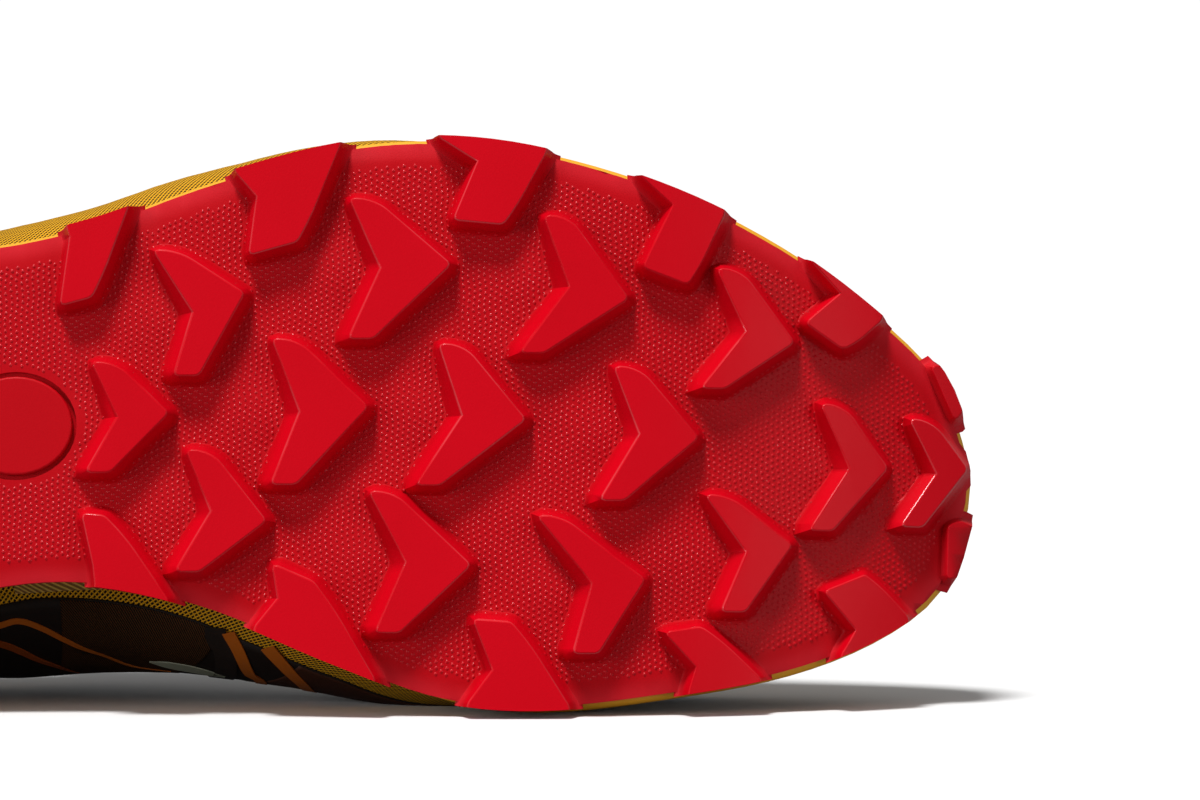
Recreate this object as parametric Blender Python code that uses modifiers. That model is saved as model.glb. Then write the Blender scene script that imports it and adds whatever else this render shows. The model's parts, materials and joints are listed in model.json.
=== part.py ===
# A right trail running shoe, laid on its medial side, in metres.
# The shoe is modelled upright: X runs from heel to toe, Y towards the medial side, Z up from the tread.
# At the end the whole shoe is laid down so that its sole edge and its upper both touch the floor.
from collections import namedtuple
from math import floor

import bmesh
import bpy
import numpy as np
from mathutils import Matrix, Vector

mm = 0.001

# Main sizes
sole_length = 300 * mm
ball_width = 110 * mm
lug_depth = 5 * mm
outsole_thickness = 3 * mm
heel_foam = 22 * mm
forefoot_foam = 11 * mm
toe_spring = 30 * mm
heel_bevel = 5 * mm
heel_collar_height = 100 * mm
ankle_height = 80 * mm
instep_height = 104 * mm
vamp_height = 71 * mm

# Walls and fits
seat_gap = 0.3 * mm
overlay_gap = 0.45 * mm
upper_wall = 2 * mm
overlay_wall = 1.2 * mm
counter_wall = 1.6 * mm
lining_wall = 4 * mm
tongue_wall = 3.5 * mm
insole_wall = 4 * mm
insole_clearance = 0.8 * mm
feather_inset = 4.5 * mm
side_flare = 0.8 * mm
side_groove = 1.4 * mm
foam_shoulder = 2.4 * mm

# Lugs
lug_reach = 15 * mm
lug_draft = 1.6 * mm
lug_end = 5.6 * mm
lug_root = 1.2 * mm
edge_lug_proud = 0.6 * mm

# Lacing
eyestay_width = 14 * mm
eyelet_inset = 7 * mm
lace_radius = 1.2 * mm
lace_crown = 5 * mm
eyelet_pairs = 6

# Resolution of the lofts
columns = 64
side_columns = columns // 2
cut_step = 10 * mm

# Half outlines of the sole at stations from heel to toe, as shares of the sole's length and the ball's width
Station = namedtuple("Station", "along lateral medial")
heel_tip_across = 0.055
toe_tip_across = 0.045
stations = (
    Station(0.014, -0.110, 0.220),
    Station(0.047, -0.235, 0.340),
    Station(0.094, -0.313, 0.418),
    Station(0.150, -0.340, 0.445),
    Station(0.217, -0.345, 0.400),
    Station(0.287, -0.348, 0.312),
    Station(0.360, -0.360, 0.247),
    Station(0.427, -0.400, 0.236),
    Station(0.500, -0.471, 0.280),
    Station(0.583, -0.532, 0.373),
    Station(0.650, -0.546, 0.438),
    Station(0.717, -0.524, 0.454),
    Station(0.800, -0.458, 0.429),
    Station(0.873, -0.365, 0.391),
    Station(0.933, -0.256, 0.329),
    Station(0.977, -0.148, 0.241),
    Station(0.995, -0.032, 0.118),
)

# Profile of the foam's side wall, as shares of its height and distances out from the outline
SideRing = namedtuple("SideRing", "height out")
side_profile = (
    SideRing(0.00, 0.0),
    SideRing(0.10, side_flare),
    SideRing(0.40, side_flare),
    SideRing(0.47, side_flare - side_groove),
    SideRing(0.57, side_flare - side_groove),
    SideRing(0.64, side_flare),
    SideRing(0.88, 0.3 * side_flare),
    SideRing(1.00, -foam_shoulder),
)

# Sections of the upper from heel (0) to toe (1) round each side. Each is a curve from the feather line
# to the top line. Swell, reach and the across columns are shares of the ball's width, rise and drop
# of the instep's height, and along of the sole's length.
Section = namedtuple("Section", "at swell_lat swell_med rise reach drop along lateral medial height")
sections = (
    Section(0.00, 0.040, 0.040, 0.25, 0.040, 0.24, 0.030, 0.055, 0.055, 1.00 * heel_collar_height),
    Section(0.10, 0.050, 0.040, 0.25, 0.060, 0.24, 0.070, -0.110, 0.215, 0.97 * heel_collar_height),
    Section(0.20, 0.060, 0.040, 0.23, 0.075, 0.21, 0.150, -0.215, 0.302, 1.07 * ankle_height),
    Section(0.30, 0.100, 0.155, 0.19, 0.120, 0.17, 0.240, -0.250, 0.290, 1.00 * ankle_height),
    Section(0.38, 0.170, 0.290, 0.18, 0.180, 0.15, 0.320, -0.235, 0.215, 0.87 * instep_height),
    Section(0.45, 0.210, 0.330, 0.17, 0.230, 0.13, 0.373, -0.185, 0.120, 1.00 * instep_height),
    Section(0.52, 0.230, 0.270, 0.17, 0.280, 0.11, 0.433, -0.160, 0.075, 0.93 * instep_height),
    Section(0.60, 0.195, 0.160, 0.17, 0.320, 0.09, 0.483, -0.147, 0.062, 0.85 * instep_height),
    Section(0.70, 0.140, 0.080, 0.17, 0.370, 0.07, 0.533, -0.137, 0.057, 0.78 * instep_height),
    Section(0.80, 0.085, 0.060, 0.17, 0.460, 0.05, 0.580, -0.123, 0.050, 1.07 * vamp_height),
    Section(0.90, 0.060, 0.050, 0.15, 0.600, 0.04, 0.613, -0.090, 0.030, 1.02 * vamp_height),
    Section(1.00, 0.045, 0.045, 0.14, 0.700, 0.04, 0.630, -0.030, -0.030, 1.00 * vamp_height),
)
# Heights along a section's curve at which the upper is lofted, from feather line to top line
upper_rows = (0.0, 0.1, 0.22, 0.35, 0.5, 0.65, 0.8, 0.91, 1.0)

# Chevron lugs: the tip's place, then how far each arm runs back and out, and the notch between them,
# as shares of the lug's reach. A chevron faces 1 towards the toe or -1 towards the heel.
Chevron = namedtuple("Chevron", "along across facing lat_back lat_out med_back med_out notch")
chevrons = (
    Chevron(0.040, 0.055, -1, 0.90, 0.90, 0.90, 0.90, 0.85),
    Chevron(0.103, -0.085, -1, 0.88, 0.85, 0.92, 0.80, 0.82),
    Chevron(0.103, 0.195, -1, 0.92, 0.80, 0.88, 0.85, 0.82),
    Chevron(0.160, 0.055, -1, 0.90, 0.90, 0.90, 0.90, 0.85),
    Chevron(0.222, -0.095, -1, 0.88, 0.80, 0.92, 0.80, 0.82),
    Chevron(0.222, 0.160, -1, 0.92, 0.80, 0.88, 0.75, 0.82),
    Chevron(0.280, 0.020, -1, 0.85, 0.85, 0.85, 0.85, 0.80),
    Chevron(0.479, -0.074, 1, 0.71, 0.69, 0.77, 0.79, 0.73),
    Chevron(0.527, -0.286, 1, 0.90, 0.58, 0.60, 1.10, 0.77),
    Chevron(0.542, 0.116, 1, 0.75, 0.95, 0.88, 0.67, 0.79),
    Chevron(0.607, -0.084, 1, 0.95, 0.91, 0.95, 1.02, 0.95),
    Chevron(0.660, -0.335, 1, 1.03, 0.89, 1.03, 0.99, 0.98),
    Chevron(0.673, 0.193, 1, 1.03, 0.98, 0.94, 0.89, 0.91),
    Chevron(0.708, -0.061, 1, 0.83, 1.01, 1.13, 0.87, 0.89),
    Chevron(0.774, -0.274, 1, 0.80, 1.11, 1.12, 0.73, 0.85),
    Chevron(0.784, 0.217, 1, 1.11, 0.84, 0.62, 0.98, 0.75),
    Chevron(0.819, -0.031, 1, 0.80, 0.94, 0.99, 0.84, 0.83),
    Chevron(0.882, -0.204, 1, 0.73, 0.97, 0.95, 0.65, 0.72),
    Chevron(0.880, 0.153, 1, 0.87, 0.65, 0.65, 0.91, 0.69),
    Chevron(0.944, 0.022, 1, 0.61, 0.84, 0.78, 0.87, 0.59),
    Chevron(0.995, 0.025, 1, 0.53, 0.65, 0.67, 0.83, 0.52),
)

# Edge lugs: the stretch of the outline that each holds, the stretch of its inner end, and its notch,
# along as shares of the sole's length and inward as shares of the lug's reach
EdgeLug = namedtuple("EdgeLug", "side edge_from edge_to inner_from inner_to reach notch_at notch_in")
lateral = -1
medial = 1
edge_lugs = (
    EdgeLug(lateral, 0.035, 0.080, 0.055, 0.090, 0.62, 0.046, 0.25),
    EdgeLug(lateral, 0.120, 0.170, 0.125, 0.155, 0.62, 0.128, 0.30),
    EdgeLug(lateral, 0.195, 0.245, 0.200, 0.230, 0.62, 0.203, 0.30),
    EdgeLug(lateral, 0.270, 0.320, 0.275, 0.305, 0.66, 0.278, 0.30),
    EdgeLug(lateral, 0.409, 0.457, 0.405, 0.452, 0.95, 0.411, 0.12),
    EdgeLug(lateral, 0.517, 0.588, 0.526, 0.560, 1.10, 0.531, 0.40),
    EdgeLug(lateral, 0.648, 0.721, 0.657, 0.692, 1.02, 0.673, 0.29),
    EdgeLug(lateral, 0.779, 0.836, 0.779, 0.811, 1.12, 0.799, 0.22),
    EdgeLug(lateral, 0.891, 0.941, 0.885, 0.916, 1.06, 0.909, 0.14),
    EdgeLug(medial, 0.035, 0.080, 0.055, 0.090, 0.62, 0.046, 0.25),
    EdgeLug(medial, 0.120, 0.170, 0.125, 0.155, 0.62, 0.128, 0.30),
    EdgeLug(medial, 0.195, 0.245, 0.200, 0.230, 0.50, 0.203, 0.22),
    EdgeLug(medial, 0.270, 0.315, 0.275, 0.300, 0.60, 0.278, 0.25),
    EdgeLug(medial, 0.429, 0.479, 0.420, 0.437, 0.92, 0.428, 0.22),
    EdgeLug(medial, 0.531, 0.611, 0.542, 0.571, 0.95, 0.546, 0.50),
    EdgeLug(medial, 0.667, 0.735, 0.670, 0.697, 1.12, 0.683, 0.47),
    EdgeLug(medial, 0.808, 0.858, 0.791, 0.818, 0.83, 0.813, 0.30),
    EdgeLug(medial, 0.908, 0.957, 0.896, 0.926, 0.92, 0.918, 0.24),
)


def follow(knots, values, wanted):
    # Cubic through values at ascending knots of a loop of length 1, with slopes from the neighbours
    count = len(knots)
    result = []
    for place in wanted:
        turns = floor(place)
        local = place - turns
        index = int(np.searchsorted(knots, local, side="right")) - 1
        spots = [index - 1, index, index + 1, index + 2]
        at = [knots[i % count] + i // count for i in spots]
        value = [np.asarray(values[i % count], float) for i in spots]
        span = at[2] - at[1]
        slope_in = (value[2] - value[0]) / (at[2] - at[0]) * span
        slope_out = (value[3] - value[1]) / (at[3] - at[1]) * span
        t = (local - at[1]) / span
        start = (2 * t ** 3 - 3 * t ** 2 + 1) * value[1] + (t ** 3 - 2 * t ** 2 + t) * slope_in
        finish = (3 * t ** 2 - 2 * t ** 3) * value[2] + (t ** 3 - t ** 2) * slope_out
        result.append(start + finish)
    return np.array(result)


def outline_samples():
    # Points of the sole's outline at equal steps along each side, from the heel tip by the lateral
    # side to the toe tip and back by the medial side, with their outward directions
    heel = (0.0, heel_tip_across * ball_width)
    toe = (sole_length, toe_tip_across * ball_width)
    lateral_side = [(s.along * sole_length, s.lateral * ball_width) for s in stations]
    medial_side = [(s.along * sole_length, s.medial * ball_width) for s in reversed(stations)]
    points = np.array([heel] + lateral_side + [toe] + medial_side)
    steps = np.linalg.norm(np.roll(points, -1, axis=0) - points, axis=1) ** 0.5
    knots = np.concatenate([[0.0], np.cumsum(steps)[:-1]]) / steps.sum()
    fine = 1200
    places = np.arange(fine) / fine
    curve = follow(knots, points, places)
    toe_at = int(round(knots[len(stations) + 1] * fine))
    lengths = np.linalg.norm(np.roll(curve, -1, axis=0) - curve, axis=1)
    travelled = np.concatenate([[0.0], np.cumsum(lengths)])
    toe_travel = travelled[toe_at]
    first = np.linspace(0, toe_travel, side_columns + 1)[:-1]
    second = np.linspace(toe_travel, travelled[-1], side_columns + 1)[:-1]
    wanted = np.concatenate([first, second])
    loop = np.vstack([curve, curve[:1]])
    ring = np.column_stack([np.interp(wanted, travelled, loop[:, axis]) for axis in (0, 1)])
    tangent = np.roll(loop[:-1], -4, axis=0) - np.roll(loop[:-1], 4, axis=0)
    outward = np.column_stack([tangent[:, 1], -tangent[:, 0]])
    outward /= np.linalg.norm(outward, axis=1)[:, None]
    spots = np.round(np.interp(wanted, travelled, np.arange(fine + 1))).astype(int) % fine
    return ring, outward[spots]


def lift(along):
    # Rise of the tread above the floor of an upright shoe: the toe's spring and the heel's bevel
    flat_to = 2 / 3 * sole_length
    flat_from = 0.13 * sole_length
    toe = np.maximum(along - flat_to, 0) / (sole_length - flat_to)
    heel = np.maximum(flat_from - along, 0) / flat_from
    return toe_spring * toe ** 2.5 + heel_bevel * heel ** 2


def foam_height(along):
    # Thickness of the midsole, full under the heel and thinner from the waist to the ball
    share = np.clip((along / sole_length - 0.25) / 0.45, 0, 1)
    return heel_foam + (forefoot_foam - heel_foam) * share ** 2 * (3 - 2 * share)


outsole_top = lug_depth + outsole_thickness
foam_bottom = outsole_top + seat_gap


def foam_top(along):
    return foam_bottom + foam_height(along) + lift(along)


outline, outline_out = outline_samples()


def ring_at(out, height):
    flat = outline + outline_out * out
    return [(x, y, height) for x, y in flat]


def edge_across(along, side):
    # Where the sole's outline lies across the shoe at a place along it
    half = slice(0, side_columns + 1) if side == lateral else slice(side_columns, columns)
    part = outline[half]
    order = np.argsort(part[:, 0])
    return float(np.interp(along, part[order, 0], part[order, 1]))


def new_object(name, bm):
    mesh = bpy.data.meshes.new(name)
    bm.to_mesh(mesh)
    bm.free()
    result = bpy.data.objects.new(name, mesh)
    shoe_parts.objects.link(result)
    return result


def finish_part(obj, color, roughness):
    material = bpy.data.materials.new(obj.name)
    material.use_nodes = True
    shader = material.node_tree.nodes["Principled BSDF"]
    shader.inputs["Base Color"].default_value = (*color, 1)
    shader.inputs["Roughness"].default_value = roughness
    shader.inputs["Metallic"].default_value = 0
    obj.data.materials.clear()
    obj.data.materials.append(material)
    obj.data.shade_smooth()
    obj.data.set_sharp_from_angle(angle=0.7)
    obj.parent = shoe


def skin_rings(bm, rings, closed=True):
    # Quads between successive rings of points, returned with their vertices
    rows = [[bm.verts.new(point) for point in ring] for ring in rings]
    count = len(rows[0])
    for low, high in zip(rows, rows[1:]):
        for i in range(count if closed else count - 1):
            j = (i + 1) % count
            bm.faces.new((low[i], low[j], high[j], high[i]))
    return rows


def cap_and_cut(bm, rows, step):
    # Closes a stack of rings at both ends and cuts it across, so that it can bend along the shoe
    bm.faces.new(list(reversed(rows[0])))
    bm.faces.new(rows[-1])
    cut_across(bm, step)
    bmesh.ops.recalc_face_normals(bm, faces=bm.faces)


def cut_across(bm, step):
    for i in range(1, int(sole_length / step)):
        whole = bm.verts[:] + bm.edges[:] + bm.faces[:]
        place = (i * step, 0, 0)
        bmesh.ops.bisect_plane(bm, geom=whole, dist=1e-6, plane_co=place, plane_no=(1, 0, 0))


def make_plate(name, inset, profile, height_of):
    # A plate with the sole's outline, whose rings are (height share, distance out) and whose
    # vertices then rise to height_of(along, share)
    bm = bmesh.new()
    rows = skin_rings(bm, [ring_at(out - inset, share) for share, out in profile])
    cap_and_cut(bm, rows, cut_step)
    for vert in bm.verts:
        vert.co.z = height_of(vert.co.x, vert.co.z)
    return new_object(name, bm)


def add_lug(bm, corners):
    # A drafted lug standing down from inside the plate to the tread plane
    face = bm.faces.new([bm.verts.new((x, y, lug_depth + lug_root)) for x, y in corners])
    face.normal_update()
    if face.normal.z > 0:
        face.normal_flip()
    shaft = bmesh.ops.extrude_face_region(bm, geom=[face], use_keep_orig=True)
    moved = [item for item in shaft["geom"] if isinstance(item, bmesh.types.BMVert)]
    for vert in moved:
        vert.co.z = lug_depth
    tread = [item for item in shaft["geom"] if isinstance(item, bmesh.types.BMFace)]
    tread[0].normal_update()
    bmesh.ops.inset_region(bm, faces=tread, thickness=lug_draft, use_even_offset=True)
    for vert in tread[0].verts:
        vert.co.z = 0


def chevron_corners(row):
    tip = np.array([row.along * sole_length, row.across * ball_width])
    lat = lug_reach * np.array([-row.facing * row.lat_back, -row.lat_out])
    med = lug_reach * np.array([-row.facing * row.med_back, row.med_out])
    end = np.array([-row.facing * lug_end, 0])
    middle = lat + med
    notch = lug_reach * row.notch * middle / np.linalg.norm(middle)
    corners = [tip, tip + lat, tip + lat + end, tip + notch, tip + med + end, tip + med]
    return [tuple(corner) for corner in corners]


def edge_lug_corners(row):
    overhang = 2.5 * lug_draft

    def spot(along, inward):
        x = along * sole_length
        return x, edge_across(x, row.side) - row.side * inward

    reach = row.reach * lug_reach
    chamfer = 0.35 * (row.edge_to - row.inner_to)
    return [
        spot(row.edge_from, -overhang),
        spot(row.edge_from, 0),
        spot(row.notch_at, row.notch_in * lug_reach),
        spot(row.inner_from, reach),
        spot(row.inner_to, reach),
        spot(row.inner_to + chamfer, 0.72 * reach),
        spot(row.edge_to, 0),
        spot(row.edge_to, -overhang),
    ]


def combine(target, other, operation):
    modifier = target.modifiers.new(operation.lower(), "BOOLEAN")
    modifier.operation = operation
    modifier.object = other
    modifier.solver = "EXACT"
    modifier.use_self = True
    graph = bpy.context.evaluated_depsgraph_get()
    result = bpy.data.meshes.new_from_object(target.evaluated_get(graph))
    target.modifiers.remove(modifier)
    target.data = result
    bpy.data.objects.remove(other)


def build_outsole():
    lugs = bmesh.new()
    for row in chevrons:
        add_lug(lugs, chevron_corners(row))
    for row in edge_lugs:
        add_lug(lugs, edge_lug_corners(row))
    bmesh.ops.recalc_face_normals(lugs, faces=lugs.faces)
    tread = new_object("tread", lugs)

    trim = bmesh.new()
    heights = (-lug_depth, lug_depth + 2 * lug_root)
    rows = skin_rings(trim, [ring_at(edge_lug_proud, height) for height in heights])
    trim.faces.new(list(reversed(rows[0])))
    trim.faces.new(rows[-1])
    bmesh.ops.recalc_face_normals(trim, faces=trim.faces)
    combine(tread, new_object("trim", trim), "INTERSECT")

    plate = bmesh.new()
    rows = skin_rings(plate, [ring_at(0, height) for height in (lug_depth, outsole_top)])
    plate.faces.new(list(reversed(rows[0])))
    plate.faces.new(rows[-1])
    bmesh.ops.recalc_face_normals(plate, faces=plate.faces)
    outsole = new_object("outsole", plate)
    combine(outsole, tread, "UNION")

    bm = bmesh.new()
    bm.from_mesh(outsole.data)
    cut_across(bm, cut_step)
    for vert in bm.verts:
        vert.co.z += lift(vert.co.x)
    bm.to_mesh(outsole.data)
    bm.free()
    finish_part(outsole, (0.55, 0.003, 0.012), 0.45)


def build_midsole():
    def height_of(along, share):
        return foam_bottom + share * foam_height(along) + lift(along)

    midsole = make_plate("midsole", 0, side_profile, height_of)
    finish_part(midsole, (0.75, 0.30, 0.01), 0.6)


def build_insole():
    inset = feather_inset + upper_wall + insole_clearance

    def height_of(along, share):
        return foam_top(along) + seat_gap + share * insole_wall

    profile = ((0, -insole_clearance), (0.3, 0), (0.85, 0), (1, -insole_clearance))
    insole = make_plate("insole", inset, profile, height_of)
    finish_part(insole, (0.03, 0.03, 0.03), 0.9)


def section_knots():
    # The sections of both sides in order round the loop of columns
    knots = []
    values = []
    for row in sections:
        knots.append(row.at / 2)
        values.append((row.swell_lat, row.rise, row.reach, row.drop, row.along, row.lateral, row.height))
    for row in reversed(sections[1:-1]):
        knots.append(1 - row.at / 2)
        values.append((row.swell_med, row.rise, row.reach, row.drop, row.along, row.medial, row.height))
    return knots, values


section_values = follow(*section_knots(), np.arange(columns) / columns)


def on_upper(column, share):
    # Outer surface of the upper on one column, from the feather line (0) to the top line (1)
    column %= columns
    swell, rise, reach, drop, along, across, height = section_values[column]
    out = np.array([*outline_out[column], 0])
    up = np.array([0, 0, 1])
    x, y = outline[column] - outline_out[column] * feather_inset
    feather = np.array([x, y, foam_top(x) + seat_gap])
    top = np.array([along * sole_length, across * ball_width, height])
    low = feather + out * swell * ball_width + up * rise * instep_height
    high = top + out * reach * ball_width - up * drop * instep_height
    rest = 1 - share
    lower = rest ** 3 * feather + 3 * rest ** 2 * share * low
    return lower + 3 * rest * share ** 2 * high + share ** 3 * top


def out_of_upper(column, share):
    # Outward direction of the upper's surface
    low = max(share - 0.02, 0)
    high = min(share + 0.02, 1)
    upward = on_upper(column, high) - on_upper(column, low)
    onward = on_upper(column + 1, share) - on_upper(column - 1, share)
    normal = np.cross(onward, upward)
    return normal / np.linalg.norm(normal)


def beside_upper(column, share, distance):
    return on_upper(column, share) + out_of_upper(column, share) * distance


def rib_length(column):
    steps = [on_upper(column, i / 20) for i in range(21)]
    return sum(np.linalg.norm(b - a) for a, b in zip(steps, steps[1:]))


def build_upper():
    bm = bmesh.new()
    skin_rings(bm, [[on_upper(c, share) for c in range(columns)] for share in upper_rows])
    upper = new_object("upper", bm)
    add_wall(upper, upper_wall, -1)
    finish_part(upper, (0.65, 0.36, 0.02), 0.8)


def add_wall(obj, thickness, side):
    wall = obj.modifiers.new("wall", "SOLIDIFY")
    wall.thickness = thickness
    wall.offset = side


def patch(name, column_list, shares_at, distance, thickness, side, closed=False):
    # A piece that follows the upper's surface at a distance, given a wall on one side of it
    bm = bmesh.new()
    counts = range(len(shares_at(column_list[0])))
    rings = [[beside_upper(c, shares_at(c)[k], distance) for c in column_list] for k in counts]
    skin_rings(bm, rings, closed)
    obj = new_object(name, bm)
    add_wall(obj, thickness, side)
    return obj


def side_share(column):
    # How far a column is from the heel (0) to the toe (1) on its own side
    column %= columns
    return min(column, columns - column) / side_columns


def build_toe_rand():
    first = round(0.72 * side_columns)
    span = range(first, columns - first + 1)

    def shares_at(column):
        rise = np.clip((side_share(column) - 0.70) / 0.30, 0, 1) ** 0.7
        top = 0.05 + 0.13 * rise
        return [0.03 + (top - 0.03) * step / 3 for step in range(4)]

    rand = patch("toe_rand", span, shares_at, overlay_gap, overlay_wall, 1)
    finish_part(rand, (0.02, 0.015, 0.012), 0.5)


def build_heel_counter():
    last = round(0.24 * side_columns)
    span = range(-last, last + 1)

    def shares_at(column):
        top = 0.62 - 0.42 * (side_share(column) / 0.24) ** 2
        return [0.03 + (top - 0.03) * step / 5 for step in range(6)]

    counter = patch("heel_counter", span, shares_at, overlay_gap, counter_wall, 1)
    finish_part(counter, (0.02, 0.015, 0.012), 0.5)


def build_eyestay():
    first = round(0.44 * side_columns)
    span = range(first, columns - first + 1)

    def shares_at(column):
        low = 1 - eyestay_width / rib_length(column)
        return [low + (1 - low) * step / 3 for step in range(4)]

    eyestay = patch("eyestay", span, shares_at, overlay_gap, overlay_wall, 1)
    finish_part(eyestay, (0.02, 0.015, 0.012), 0.5)


def build_collar_lining():
    last = round(0.38 * side_columns)
    span = range(-last, last + 1)
    inside = -(upper_wall + seat_gap)
    lining = patch("collar_lining", span, lambda column: upper_rows[5:], inside, lining_wall, -1)
    finish_part(lining, (0.03, 0.03, 0.03), 0.9)


def throat_row(column):
    # One line across the tongue, tucked under both edges of the throat
    inside = -(upper_wall + seat_gap)
    edge = (0.91, 1.0)
    lat = [beside_upper(column, share, inside) for share in edge]
    med = [beside_upper(columns - column, share, inside) for share in edge]
    chord = np.linalg.norm(med[1] - lat[1])
    lead_in = (lat[1] - lat[0]) / np.linalg.norm(lat[1] - lat[0]) * chord * 0.8
    lead_out = (med[0] - med[1]) / np.linalg.norm(med[0] - med[1]) * chord * 0.8
    middle = []
    for t in (0.25, 0.5, 0.75):
        start = (2 * t ** 3 - 3 * t ** 2 + 1) * lat[1] + (t ** 3 - 2 * t ** 2 + t) * lead_in
        finish = (3 * t ** 2 - 2 * t ** 3) * med[1] + (t ** 3 - t ** 2) * lead_out
        middle.append(start + finish)
    return [lat[0], lat[1], *middle, med[1], med[0]]


def build_tongue():
    first = round(0.46 * side_columns)
    last = round(0.94 * side_columns)
    rows = [throat_row(column) for column in range(first, last + 1)]
    rise = np.mean(rows[0], axis=0) - np.mean(rows[2], axis=0)
    rise /= np.linalg.norm(rise)
    centre = np.mean(rows[0], axis=0)
    Flap = namedtuple("Flap", "distance width bow")
    flaps = (
        Flap(6 * mm, 0.70, 1.0 * mm),
        Flap(14 * mm, 0.70, 2.0 * mm),
        Flap(22 * mm, 0.68, 3.5 * mm),
        Flap(28 * mm, 0.58, 5.0 * mm),
        Flap(31 * mm, 0.40, 6.0 * mm),
    )
    tip = []
    for flap in flaps:
        move = rise * flap.distance + np.array([0, 0, flap.bow])
        tip.append([centre + (point - centre) * flap.width + move for point in rows[0]])
    bm = bmesh.new()
    skin_rings(bm, list(reversed(tip)) + rows, closed=False)
    tongue = new_object("tongue", bm)
    add_wall(tongue, tongue_wall, 1)
    finish_part(tongue, (0.03, 0.03, 0.03), 0.9)


def build_laces():
    # Crossings between the eyelets, each a low arch over the tongue, joined where they meet
    above = overlay_gap + overlay_wall + seat_gap + lace_radius
    places = [0.50 + 0.40 * i / (eyelet_pairs - 1) for i in range(eyelet_pairs)]
    pairs = []
    for place in places:
        column = round(place * side_columns)
        share = 1 - eyelet_inset / rib_length(column)
        pairs.append([beside_upper(c, share, above) for c in (column, columns - column)])
    runs = []
    for low, high in zip(pairs, pairs[1:]):
        runs.append((low[0], high[1]))
        runs.append((low[1], high[0]))
    joined = None
    for index, (start, finish) in enumerate(runs):
        curve = bpy.data.curves.new(f"lace_{index}", "CURVE")
        curve.dimensions = "3D"
        curve.bevel_depth = lace_radius
        curve.bevel_resolution = 1
        curve.use_fill_caps = True
        spline = curve.splines.new("POLY")
        steps = 8
        spline.points.add(steps)
        for step, point in enumerate(spline.points):
            t = step / steps
            place = start * (1 - t) + finish * t
            place[2] += lace_crown * (1 - (2 * t - 1) ** 4)
            point.co = (*place, 1)
        tube = bpy.data.objects.new(f"lace_{index}", curve)
        shoe_parts.objects.link(tube)
        graph = bpy.context.evaluated_depsgraph_get()
        mesh = bpy.data.meshes.new_from_object(tube.evaluated_get(graph))
        bpy.data.objects.remove(tube)
        bm = bmesh.new()
        bm.from_mesh(mesh)
        bmesh.ops.remove_doubles(bm, verts=bm.verts, dist=1e-6)
        bmesh.ops.recalc_face_normals(bm, faces=bm.faces)
        piece = new_object("laces" if joined is None else "crossing", bm)
        if joined is None:
            joined = piece
        else:
            combine(joined, piece, "UNION")
    finish_part(joined, (0.02, 0.015, 0.012), 0.8)


def lay_down():
    # Turns the shoe onto the face of its convex hull on which it rests on its medial side: the one
    # nearest to its centre of volume, which touches the sole's edge at heel and ball and the upper
    bpy.context.view_layer.update()
    graph = bpy.context.evaluated_depsgraph_get()
    hull = bmesh.new()
    moment = Vector((0, 0, 0))
    volume = 0
    for part in shoe_parts.objects:
        solid = bmesh.new()
        solid.from_object(part, graph)
        for vert in solid.verts:
            hull.verts.new(vert.co)
        for a, b, c in solid.calc_loop_triangles():
            a, b, c = a.vert.co, b.vert.co, c.vert.co
            wedge = a.dot(b.cross(c)) / 6
            moment += wedge * (a + b + c) / 4
            volume += wedge
        solid.free()
    centre = moment / volume
    bmesh.ops.convex_hull(hull, input=hull.verts[:])
    medial_faces = [face for face in hull.faces if face.normal.y > 0.8]
    resting = min(medial_faces, key=lambda face: (face.verts[0].co - centre).dot(face.normal))
    up_axis = -resting.normal
    along_axis = Vector((1, 0, 0))
    along_axis = (along_axis - up_axis * along_axis.dot(up_axis)).normalized()
    depth_axis = up_axis.cross(along_axis)
    turn = Matrix((along_axis, depth_axis, up_axis))
    placed = [turn @ vert.co for vert in hull.verts]
    hull.free()
    low = [min(point[axis] for point in placed) for axis in range(3)]
    high = [max(point[axis] for point in placed) for axis in range(3)]
    base = Vector(((low[0] + high[0]) / 2, (low[1] + high[1]) / 2, low[2]))
    shoe.matrix_world = Matrix.Translation(-base) @ turn.to_4x4()


for old in list(bpy.data.objects):
    bpy.data.objects.remove(old)

shoe_parts = bpy.data.collections.new("trail_running_shoe")
bpy.context.scene.collection.children.link(shoe_parts)
shoe = bpy.data.objects.new("shoe", None)
bpy.context.scene.collection.objects.link(shoe)

build_outsole()
build_midsole()
build_insole()
build_upper()
build_toe_rand()
build_heel_counter()
build_eyestay()
build_collar_lining()
build_tongue()
build_laces()
lay_down()
bpy.context.view_layer.update()
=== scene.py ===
# A right trail running shoe lying on its medial side, dressed for its picture.
# Each piece is shaped upright in the shoe's own axes, heel to toe, towards the medial side and up
# from the tread, and is then laid down on the frame.
import json
from collections import namedtuple
from math import pi, radians

import bmesh
import bpy
import numpy as np
from mathutils import Matrix, Vector
from mathutils.bvhtree import BVHTree


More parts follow.
